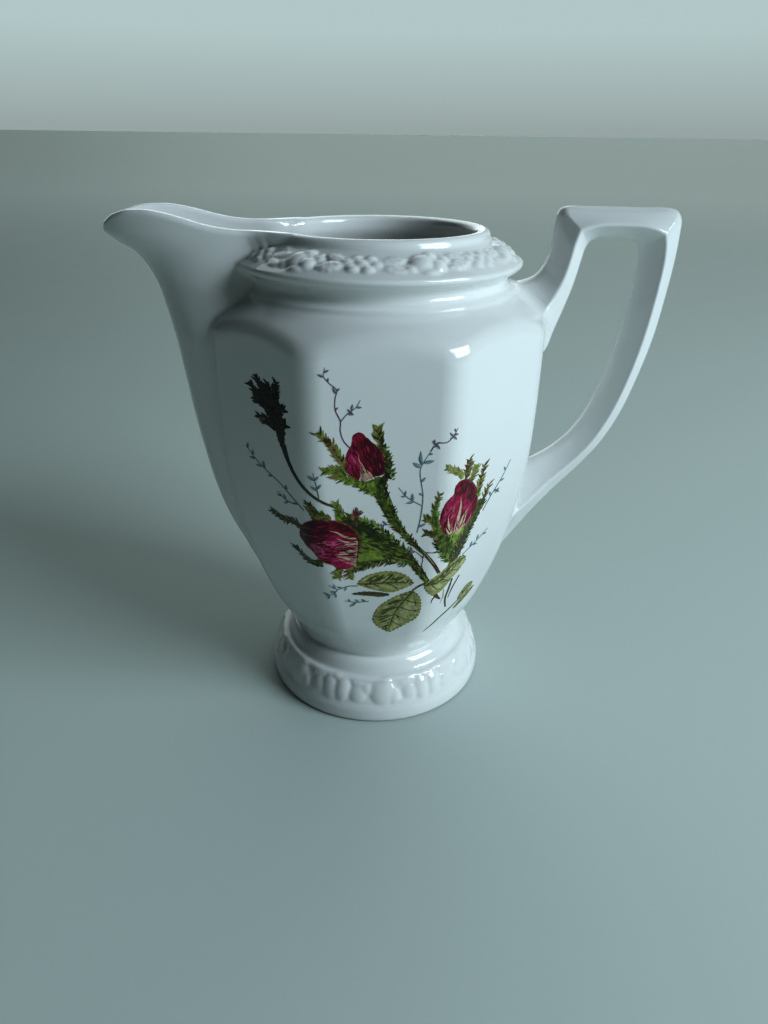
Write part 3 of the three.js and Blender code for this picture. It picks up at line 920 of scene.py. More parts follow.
# bud A, upright in the middle
PETALS_A = [
    (-4.3, 84.9), (-5.7, 84.4), (-6.1, 82.3), (-7.0, 80.6), (-7.5, 78.6), (-7.3, 76.4), (-6.0, 74.9),
    (-3.9, 73.9), (-1.4, 74.9), (0.6, 75.6), (0.7, 78.8), (-0.2, 81.1), (-1.6, 82.5), (-3.0, 83.8)]
patch("crimson", 4, PETALS_A, ragged=0.04)
patch("maroon", 5, [(-3.3, 83.7), (-1.7, 82.4), (-0.3, 80.9), (0.5, 78.7), (0.4, 75.9), (-1.0, 75.3),
    (-2.2, 76.8), (-3.3, 79.2), (-4.0, 81.4)], ragged=0.05)
patch("magenta", 5, [(-5.9, 81.9), (-6.9, 80.2), (-7.3, 78.2), (-6.9, 76.3), (-5.6, 75.3), (-4.6, 76.6),
    (-4.4, 78.7), (-4.9, 80.8)], ragged=0.05)
patch("magenta", 5, [(-4.7, 84.5), (-5.5, 84.0), (-5.7, 83.0), (-5.1, 82.8), (-4.4, 83.6)], ragged=0.04)
patch("maroon", 6, [(-5.9, 82.2), (-5.0, 81.7), (-4.2, 82.0), (-3.9, 81.2), (-4.9, 80.9), (-6.0, 81.4)])
brushed([(-6.0, 81.0), (-7.1, 79.0), (-7.0, 76.8), (-5.6, 75.8), (-4.9, 77.6), (-5.1, 80.0)],
    "pink magenta", 6, 14, 1.75, 1.7, 0.26)
brushed(PETALS_A, "crimson maroon magenta crimson", 6, 70, 1.95, 2.0)
fan_streaks("cream pink cream", 7, ((-4.6, 73.9), (-1.6, 74.6)), math.radians(110), 0.5, 3.6, 0.42, 9)
fan_streaks("maroon crimson", 8, ((-5.8, 75.2), (-2.2, 76.2)), math.radians(112), 0.35, 3.0, 0.2, 7)
stroke("cream", 8, [(-2.9, 75.2), (-3.6, 77.0), (-4.6, 78.8), (-4.7, 80.2)], [0.4, 0.3, 0.06])
stroke("maroon", 8, [(-6.4, 80.8), (-6.9, 79.2), (-6.7, 77.6)], [0.08, 0.2, 0.06])

patch("moss", 3, [(-7.0, 75.5), (-5.5, 74.5), (-3.6, 73.8), (-1.0, 74.8), (0.7, 75.2), (0.9, 78.9),
    (0.2, 81.4), (1.2, 81.0), (2.2, 78.6), (1.9, 75.9), (1.0, 73.0), (1.4, 70.2), (-0.8, 69.9),
    (-2.6, 71.2), (-5.0, 72.6)], ragged=0.14)
patch("moss_dark", 4, [(-0.2, 74.3), (0.9, 75.6), (1.0, 78.9), (0.6, 80.6), (1.3, 80.0), (1.9, 77.6),
    (1.5, 74.9), (0.9, 72.6), (0.2, 71.2), (-0.9, 72.2)], ragged=0.1)
patch("moss_bright", 4, [(-5.9, 74.0), (-3.4, 73.1), (-1.3, 73.9), (-1.6, 71.9), (-3.1, 71.6),
    (-5.0, 72.9)], ragged=0.1)
moss([(0.2, 71.5), (1.6, 75.0), (1.9, 78.2), (0.6, 81.8)], [0.5, 0.4], "moss moss_dark brown", 4, 30, 1.5,
    0.9, False, 0.34)
moss([(2.3, 74.0), (1.6, 78.0), (0.6, 81.5)], [0.4, 0.3], "moss moss_bright moss_dark", 3, 22, 1.25, 0.5,
    True, 0.3)
moss([(-0.6, 71.0), (-3.2, 72.2), (-6.2, 74.4)], [0.7, 0.5], "moss moss_bright", 3, 22, 1.5, 0.7, True,
    0.34)

# bud A's stem, heavy with moss and running down to the gathering of stems
STEM_A = [
    (-0.2, 71.6), (1.4, 67.6), (3.2, 63.5), (5.5, 60.1), (8.0, 57.0), (10.4, 54.3), (12.4, 51.4),
    (13.8, 48.4)]
stroke("moss_dark", 3, STEM_A, [3.0, 2.7, 2.3, 1.5, 1.1, 0.9, 0.85, 0.8])
stroke("moss", 4, [(x - 0.35, z) for x, z in STEM_A[:6]], [1.7, 1.4, 1.0, 0.6, 0.35])
texture(STEM_A[:5], [1.2, 1.0, 0.7, 0.4], "moss_bright moss_dark brown moss", 5, 70, 1.2)
moss(STEM_A[:5][::-1], [0.5, 0.8, 1.2, 1.5], "moss moss_bright moss_dark brown", 3, 46, 1.2, 0.7)
stroke("stem_red", 5, [(9.6, 55.2), (11.4, 52.9), (13.0, 50.4), (13.9, 48.4)], [0.2, 0.5, 0.6, 0.3])
stroke("leaf_pale", 6, [(9.0, 56.3), (10.9, 53.9), (12.6, 51.1)], [0.1, 0.22, 0.08])

# bud A's sepals
sepals([
    ([(-7.0, 75.9), (-8.6, 79.0), (-10.4, 82.0), (-13.0, 85.0)], [0.5, 0.9, 1.2, 0.8, 0.1], "ochre",
        "brown"),
    ([(-7.4, 75.2), (-9.3, 76.4), (-12.1, 76.2)], [0.6, 0.8, 0.5, 0.08], "moss_bright", "moss"),
    ([(-5.6, 73.6), (-7.8, 74.4), (-9.9, 75.4)], [0.8, 0.7, 0.1], "moss_bright", "moss"),
    ([(0.4, 80.6), (-0.2, 82.8), (-0.7, 84.6), (-0.8, 86.2)], [0.7, 0.6, 0.55, 0.1], "moss_dark",
        "brown")
], [0.2, 0.5, 0.3], "moss_bright ochre", 22, 1.7, 0.36)
patch("brown", 5, [(-11.0, 81.9), (-10.2, 82.6), (-10.6, 83.6), (-11.7, 83.4)], ragged=0.08)

# bud B, large and lying to the left
PETALS_B = [
    (-18.0, 58.4), (-17.2, 61.8), (-14.6, 63.9), (-10.9, 64.2), (-7.4, 63.0), (-5.3, 60.9), (-4.5, 58.0),
    (-4.9, 54.7), (-5.7, 51.4), (-9.0, 50.3), (-11.0, 51.6), (-13.3, 52.5), (-15.2, 54.9), (-16.9, 56.4)]
patch("crimson", 4, PETALS_B, ragged=0.05)
patch("maroon", 5, [(-17.8, 58.4), (-17.0, 61.6), (-14.5, 63.6), (-10.9, 63.9), (-7.6, 62.7),
    (-5.7, 60.8), (-8.4, 60.6), (-11.4, 60.6), (-13.6, 59.4), (-14.6, 57.2), (-15.4, 55.4),
    (-16.7, 56.7)], ragged=0.06)
patch("black_green", 6, [(-17.6, 58.6), (-16.8, 61.3), (-14.9, 62.9), (-14.4, 61.0), (-15.3, 59.2),
    (-15.6, 56.9), (-16.6, 57.0)])
patch("magenta", 5, [(-13.9, 58.6), (-11.6, 60.2), (-8.8, 60.0), (-6.2, 58.8), (-5.1, 57.0), (-6.6, 55.3),
    (-9.4, 55.2), (-12.2, 55.6), (-13.9, 56.6)], ragged=0.06)
brushed([(-13.8, 57.6), (-11.6, 59.8), (-9.0, 59.4), (-7.0, 57.6), (-8.6, 55.8), (-11.2, 55.8),
    (-13.4, 56.4)], "pink magenta pink", 6, 26, 0.15, 2.2, 0.3)
brushed(PETALS_B, "crimson maroon crimson magenta maroon", 6, 130, 0.1, 2.4, 0.36, 0.4)
FOLD_B = [(-15.0, 55.0), (-13.2, 55.7), (-11.4, 55.0), (-11.2, 53.2), (-12.9, 52.8), (-14.6, 54.1)]
patch("magenta", 5, FOLD_B, ragged=0.05)
brushed(FOLD_B, "pink", 6, 9, 0.1, 1.8, 0.3)
patch("magenta", 5, [(-11.2, 53.6), (-8.8, 54.3), (-6.0, 53.7), (-5.4, 51.9), (-7.6, 50.8), (-9.6, 50.8),
    (-11.0, 51.9)], ragged=0.05)
patch("maroon", 6, [(-11.0, 54.6), (-8.6, 55.2), (-5.4, 55.2), (-5.2, 54.2), (-8.4, 54.1), (-10.9, 53.9)],
    ragged=0.04)
brushed([(-15.9, 57.4), (-14.2, 58.2), (-11.8, 56.4), (-12.4, 54.2), (-14.6, 54.6)], "pink magenta pink",
    9, 16, -0.7, 2.2, 0.34)
stroke("maroon", 12, [(-13.8, 58.6), (-12.2, 57.2), (-9.8, 55.9), (-7.0, 55.7)], [0.1, 0.3, 0.3, 0.08])
stroke("pink", 8, [(-15.2, 56.6), (-13.2, 57.9), (-10.6, 57.4), (-8.2, 58.0), (-6.0, 57.5)],
    [0.08, 0.4, 0.35, 0.3, 0.06])
stroke("pink", 7, [(-10.9, 52.6), (-8.9, 53.2), (-6.4, 52.9)], [0.1, 0.35, 0.08])
fan_streaks("cream cream pink", 8, ((-5.0, 58.6), (-5.4, 51.4)), math.radians(180), -0.42, 4.6, 0.5, 13)
fan_streaks("maroon crimson", 9, ((-5.2, 60.0), (-5.4, 53.4)), math.radians(178), -0.3, 3.6, 0.22, 9)
stroke("cream", 9, [(-5.3, 59.3), (-7.6, 59.6), (-9.6, 60.9), (-11.2, 61.4)], [0.55, 0.6, 0.4, 0.05])
stroke("cream", 9, [(-6.0, 57.9), (-8.0, 58.4), (-9.6, 59.3)], [0.5, 0.4, 0.05])
stroke("maroon", 8, [(-16.0, 56.2), (-14.2, 57.6), (-12.6, 59.0), (-10.2, 59.7)], [0.1, 0.3, 0.3, 0.06])

patch("moss", 3, [(-9.0, 64.6), (-5.6, 64.6), (-3.2, 63.7), (-0.8, 61.4), (1.9, 59.2), (5.0, 56.8),
    (7.6, 53.6), (6.6, 51.6), (4.2, 52.8), (1.2, 52.9), (-1.6, 51.6), (-5.0, 50.4), (-5.4, 54.6),
    (-4.9, 58.2), (-6.2, 61.6)], ragged=0.15)
patch("moss_dark", 4, [(-8.4, 64.0), (-5.2, 63.8), (-2.6, 62.6), (0.0, 60.3), (3.2, 57.8), (5.8, 55.2),
    (4.8, 54.8), (2.0, 57.2), (-1.0, 59.0), (-4.2, 60.2), (-5.6, 61.9)], ragged=0.12)
patch("moss_bright", 4, [(-4.6, 57.4), (-2.0, 57.2), (1.6, 55.9), (4.6, 54.1), (2.2, 53.5), (-1.6, 52.9),
    (-4.8, 52.8), (-4.9, 55.0)], ragged=0.12)
texture([(-4.8, 58.4), (-1.0, 57.0), (3.0, 55.2), (7.2, 52.6)][::-1], [0.9, 2.0, 3.0, 3.6],
    "moss moss_bright moss_dark brown", 5, 150, 1.9, 0.34)
moss([(7.0, 54.4), (2.2, 59.4), (-2.4, 63.4), (-8.6, 65.0)], [0.3, 0.5], "moss moss_dark moss_bright", 3,
    44, 1.6, 0.8, True, 0.36)
moss([(6.4, 51.8), (1.4, 52.5), (-2.4, 51.4), (-5.6, 50.4)], [0.3, 0.4], "moss moss_bright brown", 3, 36,
    1.5, 0.9, True, 0.34)
STEM_B = [(5.4, 54.6), (7.4, 52.2), (9.3, 49.2), (11.2, 46.0)]
stroke("moss_dark", 3, STEM_B, [3.0, 2.0, 1.5, 1.3])
stroke("moss", 4, [(x - 0.2, z - 0.1) for x, z in STEM_B], [1.5, 0.9, 0.6, 0.4])
texture(STEM_B, [1.2, 0.7, 0.5], "moss_bright moss_dark brown", 5, 34, 1.1)
moss(STEM_B[::-1], [0.5, 0.8, 1.3], "moss moss_dark brown", 3, 26, 0.9, 0.7)

# bud B's sepals
sepals([
    ([(-17.2, 60.6), (-19.4, 61.3), (-21.9, 60.6), (-25.0, 61.4)], [0.7, 1.0, 0.9, 0.5, 0.08], "moss",
        "moss_dark"),
    ([(-13.6, 63.4), (-14.6, 65.6), (-15.6, 68.0)], [1.5, 1.2, 0.6, 0.1], "moss_dark", "moss"),
    ([(-11.2, 64.0), (-12.8, 65.4), (-14.6, 66.0)], [1.2, 0.9, 0.1], "moss_dark", "moss"),
    ([(-8.4, 63.8), (-9.0, 66.2), (-9.6, 68.4)], [1.9, 1.5, 0.7, 0.1], "moss_bright", "moss"),
    ([(-5.2, 62.6), (-5.6, 64.6), (-4.8, 66.6)], [1.0, 0.8, 0.1], "stem_red", "violet"),
    ([(-13.0, 51.8), (-15.2, 51.5), (-17.0, 52.0), (-19.4, 54.2)], [1.5, 1.1, 0.6, 0.08], "moss_dark",
        "moss"),
    ([(-9.0, 50.4), (-9.6, 49.2), (-9.8, 47.6)], [1.3, 1.0, 0.1], "brown", "moss_bright"),
    ([(-6.2, 50.8), (-6.8, 49.4), (-6.9, 47.6)], [1.1, 0.8, 0.1], "brown", "moss_bright")
], [0.3, 0.5, 0.2], "ochre", 20, 1.5, 0.34)

# bud C, to the right
PETALS_C = [
    (17.2, 73.1), (19.3, 72.4), (21.6, 68.8), (22.1, 65.4), (21.3, 62.4), (19.4, 60.0), (16.1, 59.1),
    (13.6, 60.9), (13.1, 65.5), (14.1, 68.3), (15.7, 70.1), (16.1, 72.2)]
patch("crimson", 4, PETALS_C, ragged=0.05)
patch("magenta", 5, [(13.5, 65.2), (14.6, 68.2), (16.2, 69.9), (17.6, 69.0), (17.2, 66.0), (16.2, 63.4),
    (14.8, 62.0), (13.7, 62.8)], ragged=0.05)
patch("maroon", 5, [(17.4, 72.6), (19.1, 71.9), (21.3, 68.5), (21.7, 65.4), (20.9, 62.9), (19.7, 65.6),
    (18.6, 68.4), (17.4, 70.3), (16.4, 71.4)], ragged=0.05)
patch("magenta", 6, [(18.9, 67.4), (20.2, 66.2), (20.6, 63.9), (19.4, 62.6), (18.3, 64.4)], ragged=0.05)
brushed([(13.8, 65.2), (14.8, 68.0), (16.6, 69.0), (16.8, 66.4), (15.6, 63.6), (14.0, 63.2)],
    "pink magenta", 6, 16, 1.2, 2.0, 0.28)
brushed(PETALS_C, "crimson maroon magenta crimson", 6, 80, 1.3, 2.4)
patch("maroon", 6, [(14.0, 61.0), (15.4, 61.6), (16.2, 60.4), (15.2, 59.6)], ragged=0.04)
stroke("maroon", 7, [(16.5, 71.6), (16.1, 69.0), (15.2, 66.4), (14.3, 63.6)], [0.1, 0.25, 0.25, 0.06])
fan_streaks("cream cream pink", 8, ((15.4, 59.6), (19.4, 60.2)), math.radians(88), -0.36, 5.2, 0.52, 9)
stroke("cream", 9, [(16.9, 60.2), (17.2, 63.2), (17.6, 66.2), (17.5, 68.6)], [1.0, 0.8, 0.5, 0.05])
fan_streaks("maroon crimson", 9, ((15.2, 60.2), (19.6, 60.6)), math.radians(88), -0.4, 4.0, 0.2, 7)

patch("moss", 3, [(12.9, 61.6), (12.3, 58.2), (13.5, 54.9), (15.4, 52.1), (16.6, 49.6), (18.0, 50.9),
    (19.3, 53.8), (20.6, 57.2), (22.1, 61.2), (23.2, 65.0), (22.2, 65.4), (20.9, 62.0), (19.4, 60.1),
    (16.1, 59.1), (13.7, 60.8)], ragged=0.14)
patch("moss_bright", 5, [(14.8, 60.3), (15.6, 58.0), (16.8, 56.2), (18.4, 57.2), (19.0, 59.9),
    (17.5, 61.8), (16.6, 60.6), (15.6, 60.9)], ragged=0.1)
patch("leaf_pale", 6, [(16.6, 60.6), (17.2, 58.6), (18.4, 59.2), (18.1, 61.4), (17.3, 63.4)], ragged=0.06)
patch("brown", 4, [(15.9, 53.0), (17.0, 50.0), (17.9, 51.4), (18.8, 54.4), (19.8, 57.6), (18.6, 57.4),
    (17.2, 54.6)], ragged=0.1)
texture([(16.9, 51.0), (16.4, 55.0), (16.6, 59.4)], [0.6, 1.9, 2.8], "moss moss_bright moss_dark", 6, 70,
    1.5, 0.32)
moss([(16.4, 50.6), (13.2, 56.2), (12.7, 61.5)], [0.3, 0.4], "moss moss_bright moss_dark", 3, 30, 1.5,
    0.8, True, 0.34)
moss([(17.6, 50.8), (20.4, 57.0), (23.0, 64.4)], [0.3, 0.3], "brown moss moss_dark", 3, 38, 1.2, 0.9,
    True, 0.32)
stroke("brown", 3, [(16.9, 51.0), (15.9, 48.8), (14.9, 46.8)], [1.1, 0.8, 0.7])
sepals([
    ([(12.9, 59.4), (12.1, 64.2), (11.9, 67.4), (12.7, 70.8)], [0.7, 0.9, 0.8, 0.1], "moss_bright",
        "moss"),
    ([(13.2, 57.4), (11.6, 60.2), (9.9, 60.6)], [0.7, 0.5, 0.08], "moss", "brown"),
    ([(13.0, 60.8), (11.2, 63.8), (9.8, 64.5)], [0.6, 0.5, 0.08], "moss_bright", "moss"),
    ([(21.8, 60.4), (23.4, 64.2), (25.0, 68.6)], [0.7, 0.8, 0.5, 0.08], "moss_dark", "moss"),
    ([(21.9, 66.6), (22.3, 70.0), (23.2, 74.6)], [0.6, 0.9, 0.5, 0.08], "moss_bright", "brown"),
    ([(19.4, 71.6), (20.6, 73.4), (21.0, 75.0)], [0.7, 0.6, 0.1], "moss_bright", "moss"),
    ([(18.4, 73.0), (18.9, 75.2), (19.0, 77.2)], [0.5, 0.5, 0.08], "moss", "brown"),
    ([(17.4, 73.4), (17.0, 74.8), (15.4, 76.0), (13.8, 76.8)], [0.5, 0.9, 1.1, 0.1], "moss_bright",
        "leaf")
], [0.2, 0.45, 0.2], "ochre", 18, 1.4, 0.33)

# bud D, closed and dark, on the panel towards the spout
patch("black_green", 3, [(-20.9, 79.0), (-22.0, 82.0), (-23.8, 85.2), (-25.4, 88.2), (-25.7, 90.6),
    (-23.6, 91.8), (-21.8, 91.2), (-20.7, 88.4), (-20.1, 85.0), (-20.3, 80.4)], ragged=0.14)
patch("maroon", 4, [(-22.4, 86.2), (-24.2, 89.6), (-23.6, 90.8), (-22.6, 90.4), (-21.8, 88.0)],
    ragged=0.1)
TIPS_D = [
    (-28.2, 91.6), (-26.4, 93.7), (-23.8, 92.9), (-21.6, 93.6), (-27.2, 88.4), (-26.6, 84.6),
    (-20.0, 88.4), (-19.8, 85.2)]
for tip in TIPS_D:
    root = (-22.8, 86.8) if tip[1] > 88 else (-22.2, 83.6)
    mid = ((root[0] + tip[0]) / 2 + 0.2, (root[1] + tip[1]) / 2 + 0.2)
    stroke("black_green", 3, [root, mid, tip], [2.2, 1.9, 0.2])
    moss([root, mid, tip], [0.5, 0.7, 0.3], "black_green moss_dark black_green", 3, 16, 1.2, 1.2,
         True, 0.36)
moss([(-26.0, 83.9), (-24.6, 84.2)], [0.2, 0.3], "ochre brown", 5, 7, 0.9, 0.4, True, 0.26)
texture([(-21.0, 80.5), (-22.4, 85.0), (-23.8, 90.2)], [0.4, 1.3, 1.6],
    "moss_dark black_green moss_dark maroon", 5, 50, 1.5, 0.26)
STEM_D = [(-20.7, 80.2), (-19.8, 77.0), (-18.0, 73.5), (-15.3, 70.6), (-12.6, 68.8), (-9.6, 67.4)]
stroke("black_green", 3, STEM_D, [1.3, 0.85, 0.7, 0.6, 0.5])
stroke("moss", 4, [(x + 0.1, z) for x, z in STEM_D[2:]], [0.1, 0.3, 0.35, 0.3])

# leaves at the gathering of stems
leaf_shape(
    [(-5.2, 45.6), (-3.6, 47.9), (-0.8, 49.2), (2.0, 49.7), (4.7, 49.2), (6.6, 48.0), (8.2, 45.7),
         (6.2, 44.1), (3.0, 42.6), (-0.7, 43.3), (-3.4, 44.4)],
    [[(-2.4, 45.6), (-0.8, 47.2), (0.6, 48.4)], [(0.6, 45.9), (2.2, 47.4), (3.4, 48.6)], [(3.4, 46.0),
         (4.8, 47.2), (5.8, 48.0)], [(-1.6, 45.6), (0.0, 44.6), (1.0, 43.5)], [(1.6, 45.8), (3.4, 44.8),
         (4.6, 43.9)]],
    [(-5.0, 45.6), (-1.6, 45.6), (2.4, 46.0), (7.8, 45.8)],
    1)
patch("leaf_dark", 4, [(-6.4, 42.1), (-4.2, 42.9), (-0.6, 42.8), (2.6, 41.9), (0.6, 41.2), (-3.4, 41.7)],
    ragged=0.06)
stroke("stem_red", 5, [(-6.3, 42.1), (-2.8, 42.4), (1.8, 41.9)], [0.1, 0.3, 0.1])
leaf_shape(
    [(-1.6, 33.0), (-0.6, 36.8), (1.8, 39.8), (4.7, 41.9), (7.9, 43.2), (9.9, 40.7), (10.3, 36.4),
         (9.5, 33.2), (6.9, 30.7), (4.4, 28.6), (2.8, 27.6), (0.4, 29.2), (-1.0, 30.9)],
    [[(6.2, 40.2), (4.2, 39.4), (2.4, 38.8)], [(4.9, 37.6), (2.6, 36.6), (0.2, 36.6)], [(3.6, 34.6),
         (1.2, 33.8), (-0.8, 34.0)], [(6.4, 40.0), (8.0, 39.2), (9.8, 39.0)], [(5.2, 37.4), (7.4, 36.2),
         (9.9, 35.8)], [(4.0, 34.6), (6.2, 33.0), (8.4, 32.4)], [(3.0, 32.2), (4.8, 30.8), (6.0, 30.2)]],
    [(7.9, 43.0), (5.8, 39.4), (3.8, 34.8), (2.6, 29.0)],
    -1)
leaf_shape(
    [(10.4, 45.2), (13.2, 47.6), (15.9, 49.8), (18.4, 50.9), (20.5, 50.1), (20.9, 48.2), (19.4, 46.0),
         (17.3, 44.0), (15.0, 41.7), (13.0, 40.7), (11.1, 42.6)],
    [[(12.6, 45.2), (13.4, 46.6), (14.6, 47.6)], [(14.8, 46.4), (15.9, 48.0), (17.2, 49.2)],
         [(12.4, 44.6), (13.4, 43.2), (14.0, 42.0)], [(14.6, 45.9), (15.8, 45.0), (16.4, 44.2)],
         [(17.0, 47.4), (18.2, 46.8), (19.0, 46.4)]],
    [(10.6, 44.9), (13.4, 45.2), (17.0, 47.6), (20.4, 49.6)],
    1)
leaf_shape(
    [(20.3, 33.6), (21.2, 35.8), (22.8, 37.4), (24.3, 37.2), (24.0, 35.2), (22.4, 33.2), (20.9, 32.2)],
    [],
    [(20.5, 32.8), (22.2, 35.0), (24.2, 37.1)],
    1, 0.08)
leaf_shape(
    [(19.4, 29.6), (20.8, 31.8), (22.9, 33.6), (25.0, 35.0), (24.2, 33.0), (22.2, 31.0), (20.4, 29.6)],
    [],
    [(19.6, 29.8), (22.0, 31.9), (24.9, 34.8)],
    -1, 0.06)

# twigs and cut stem ends below the leaves
stroke("leaf_dark", 3, [(11.2, 45.8), (9.4, 44.8), (7.8, 43.2)], [0.6, 0.5, 0.4])
stroke("brown", 3, [(13.2, 41.6), (13.9, 40.0), (14.9, 38.4)], [1.2, 0.8, 0.35])
stroke("brown", 3, [(13.6, 40.6), (12.8, 39.2), (12.6, 38.0)], [0.5, 0.3, 0.08])
stroke("moss_dark", 3, [(17.6, 44.0), (17.0, 40.6), (16.4, 37.0), (16.9, 33.0)], [0.4, 0.55, 0.5, 0.35])
stroke("leaf_pale", 3, [(15.6, 41.6), (15.6, 38.2), (15.0, 36.4)], [0.3, 0.4, 0.1])
stroke("brown", 3, [(19.6, 43.6), (18.0, 40.0), (17.2, 36.6)], [0.3, 0.4, 0.1])
stroke("leaf_dark", 3, [(11.4, 26.2), (14.8, 29.0), (18.4, 31.0), (21.4, 33.0)], [0.12, 0.5, 0.5, 0.2])
stroke("moss", 4, [(12.4, 27.1), (15.2, 29.2), (18.4, 30.9)], [0.08, 0.22, 0.08])

# fine sprigs
sprig("violet", [(-6.2, 81.2), (-7.7, 83.0), (-8.4, 85.4), (-8.3, 87.3), (-9.3, 89.6), (-9.3, 92.2),
    (-8.9, 93.8), (-10.5, 95.3), (-11.5, 96.7), (-11.2, 98.4)], [(0.45, -1, 0.9), (0.62, 1, 1.6),
    (0.66, -1, 0.8), (0.8, -1, 0.9), (0.88, 1, 1.3), (0.94, -1, 1.2)])
sprig("teal", [(-8.3, 87.2), (-6.9, 88.9), (-5.2, 90.2), (-4.3, 91.8)], [(0.35, -1, 1.3), (0.5, 1, 1.4),
    (0.7, -1, 1.2)])
flower((-6.3, 89.3), 0.8)
sprig("teal", [(8.1, 60.8), (8.7, 64.6), (9.0, 70.4), (8.2, 76.4), (9.2, 78.9), (10.5, 81.1)],
    [(0.08, -1, 1.9), (0.4, 1, 1.0), (0.52, -1, 1.5), (0.72, 1, 2.0), (0.74, -1, 2.4), (0.9, -1, 0.9)], 2,
    0.24)
sprig("violet", [(10.2, 80.8), (11.4, 82.5), (13.6, 82.7), (14.9, 84.1), (15.7, 85.6)], [(0.2, 1, 1.2),
    (0.75, -1, 1.0), (0.9, 1, 0.8)])
flower((11.3, 82.2), 1.2)
flower((14.8, 83.9), 1.1)
leaflet("teal", 3, (8.3, 77.6), 1.62, 3.2, 0.7)
leaflet("teal", 3, (8.2, 77.0), 2.5, 2.0, 0.9)
sprig("teal", [(8.7, 67.9), (6.9, 69.0), (5.2, 70.4), (3.8, 72.3)], [(0.3, 1, 1.7), (0.35, -1, 1.9),
    (0.65, 1, 1.1), (0.7, -1, 1.2)])
sprig("teal", [(-16.6, 65.8), (-19.2, 67.9), (-22.0, 70.2), (-25.6, 72.2), (-27.8, 73.8), (-30.2, 76.2)],
    [(0.12, 1, 1.3), (0.3, -1, 1.5), (0.5, 1, 1.2), (0.62, -1, 1.9), (0.66, 1, 1.7), (0.82, 1, 1.6),
    (0.85, -1, 1.4), (0.95, -1, 1.5)], 2, 0.26)
sprig("teal", [(-18.6, 66.4), (-20.8, 66.4), (-22.8, 67.8)], [(0.4, 1, 1.5), (0.5, -1, 1.5),
    (0.8, 1, 1.2)])
sprig("teal", [(-13.2, 69.6), (-13.6, 72.2), (-14.3, 75.6)], [(0.4, 1, 1.7), (0.45, -1, 1.5),
    (0.75, 1, 1.9), (0.8, -1, 1.4)])
sprig("teal", [(23.9, 61.6), (26.0, 65.2), (28.4, 68.6), (30.4, 72.4)], [(0.3, 1, 1.5), (0.4, -1, 1.3),
    (0.6, -1, 1.3), (0.8, 1, 1.3)])
flower((27.4, 65.4), 0.9)
sprig("teal", [(19.6, 50.8), (21.9, 52.0), (24.2, 53.5), (26.2, 55.0)], [(0.3, 1, 1.7), (0.4, -1, 1.4),
    (0.55, 1, 1.7), (0.75, -1, 1.3)])
sprig("teal", [(-5.0, 44.9), (-7.4, 44.8), (-9.8, 43.8), (-11.8, 45.0)], [(0.4, 1, 1.6), (0.5, -1, 1.4),
    (0.75, -1, 1.6)])
sprig("teal", [(-9.6, 43.8), (-10.8, 42.2), (-12.8, 41.0)], [(0.3, -1, 1.5), (0.4, 1, 1.8),
    (0.75, -1, 1.6), (0.8, 1, 1.6)])
sprig("teal", [(-2.4, 39.6), (-5.4, 39.2), (-8.2, 39.8)], [(0.15, -1, 1.4), (0.4, -1, 1.5), (0.5, 1, 2.3),
    (0.8, -1, 1.1)])
sprig("violet", [(11.4, 46.8), (9.6, 51.0), (9.7, 53.4), (7.9, 55.4), (6.6, 56.0)], [(0.5, -1, 1.5),
    (0.75, 1, 1.6), (0.9, -1, 1.2)])
sprig("stem_red", [(10.4, 55.1), (12.4, 54.9), (14.8, 55.5)], [(0.6, 1, 0.8)], 2, 0.18)
sprig("violet", [(5.6, 60.6), (3.4, 62.6), (0.8, 62.9), (-0.8, 62.5)], [(0.6, -1, 1.4), (0.7, 1, 1.3),
    (0.85, -1, 1.0)])


FILM_LIFT, LAYER_LIFT, FILM_SINK = 0.035, 0.009, 0.08
IN_FRONT = -44.0   # y of a plane on the camera side, clear of the jug


def on_glaze(flat):
    """Points of the drawing put on the jug's outer surface, with the surface normal there."""
    p = np.stack([flat[:, 0], np.full(len(flat), IN_FRONT), flat[:, 1]], 1)
    for _ in range(14):
        p[:, 1] += np.clip(jug(p[:, 0], p[:, 1], p[:, 2]), -1.5, 6)
    g = gradient(p, 0.15)
    for _ in range(3):
        p[:, 1] -= jug(p[:, 0], p[:, 1], p[:, 2]) / np.minimum(g[:, 1], -0.2)
    return p, g / np.linalg.norm(g, axis=1)[:, None]


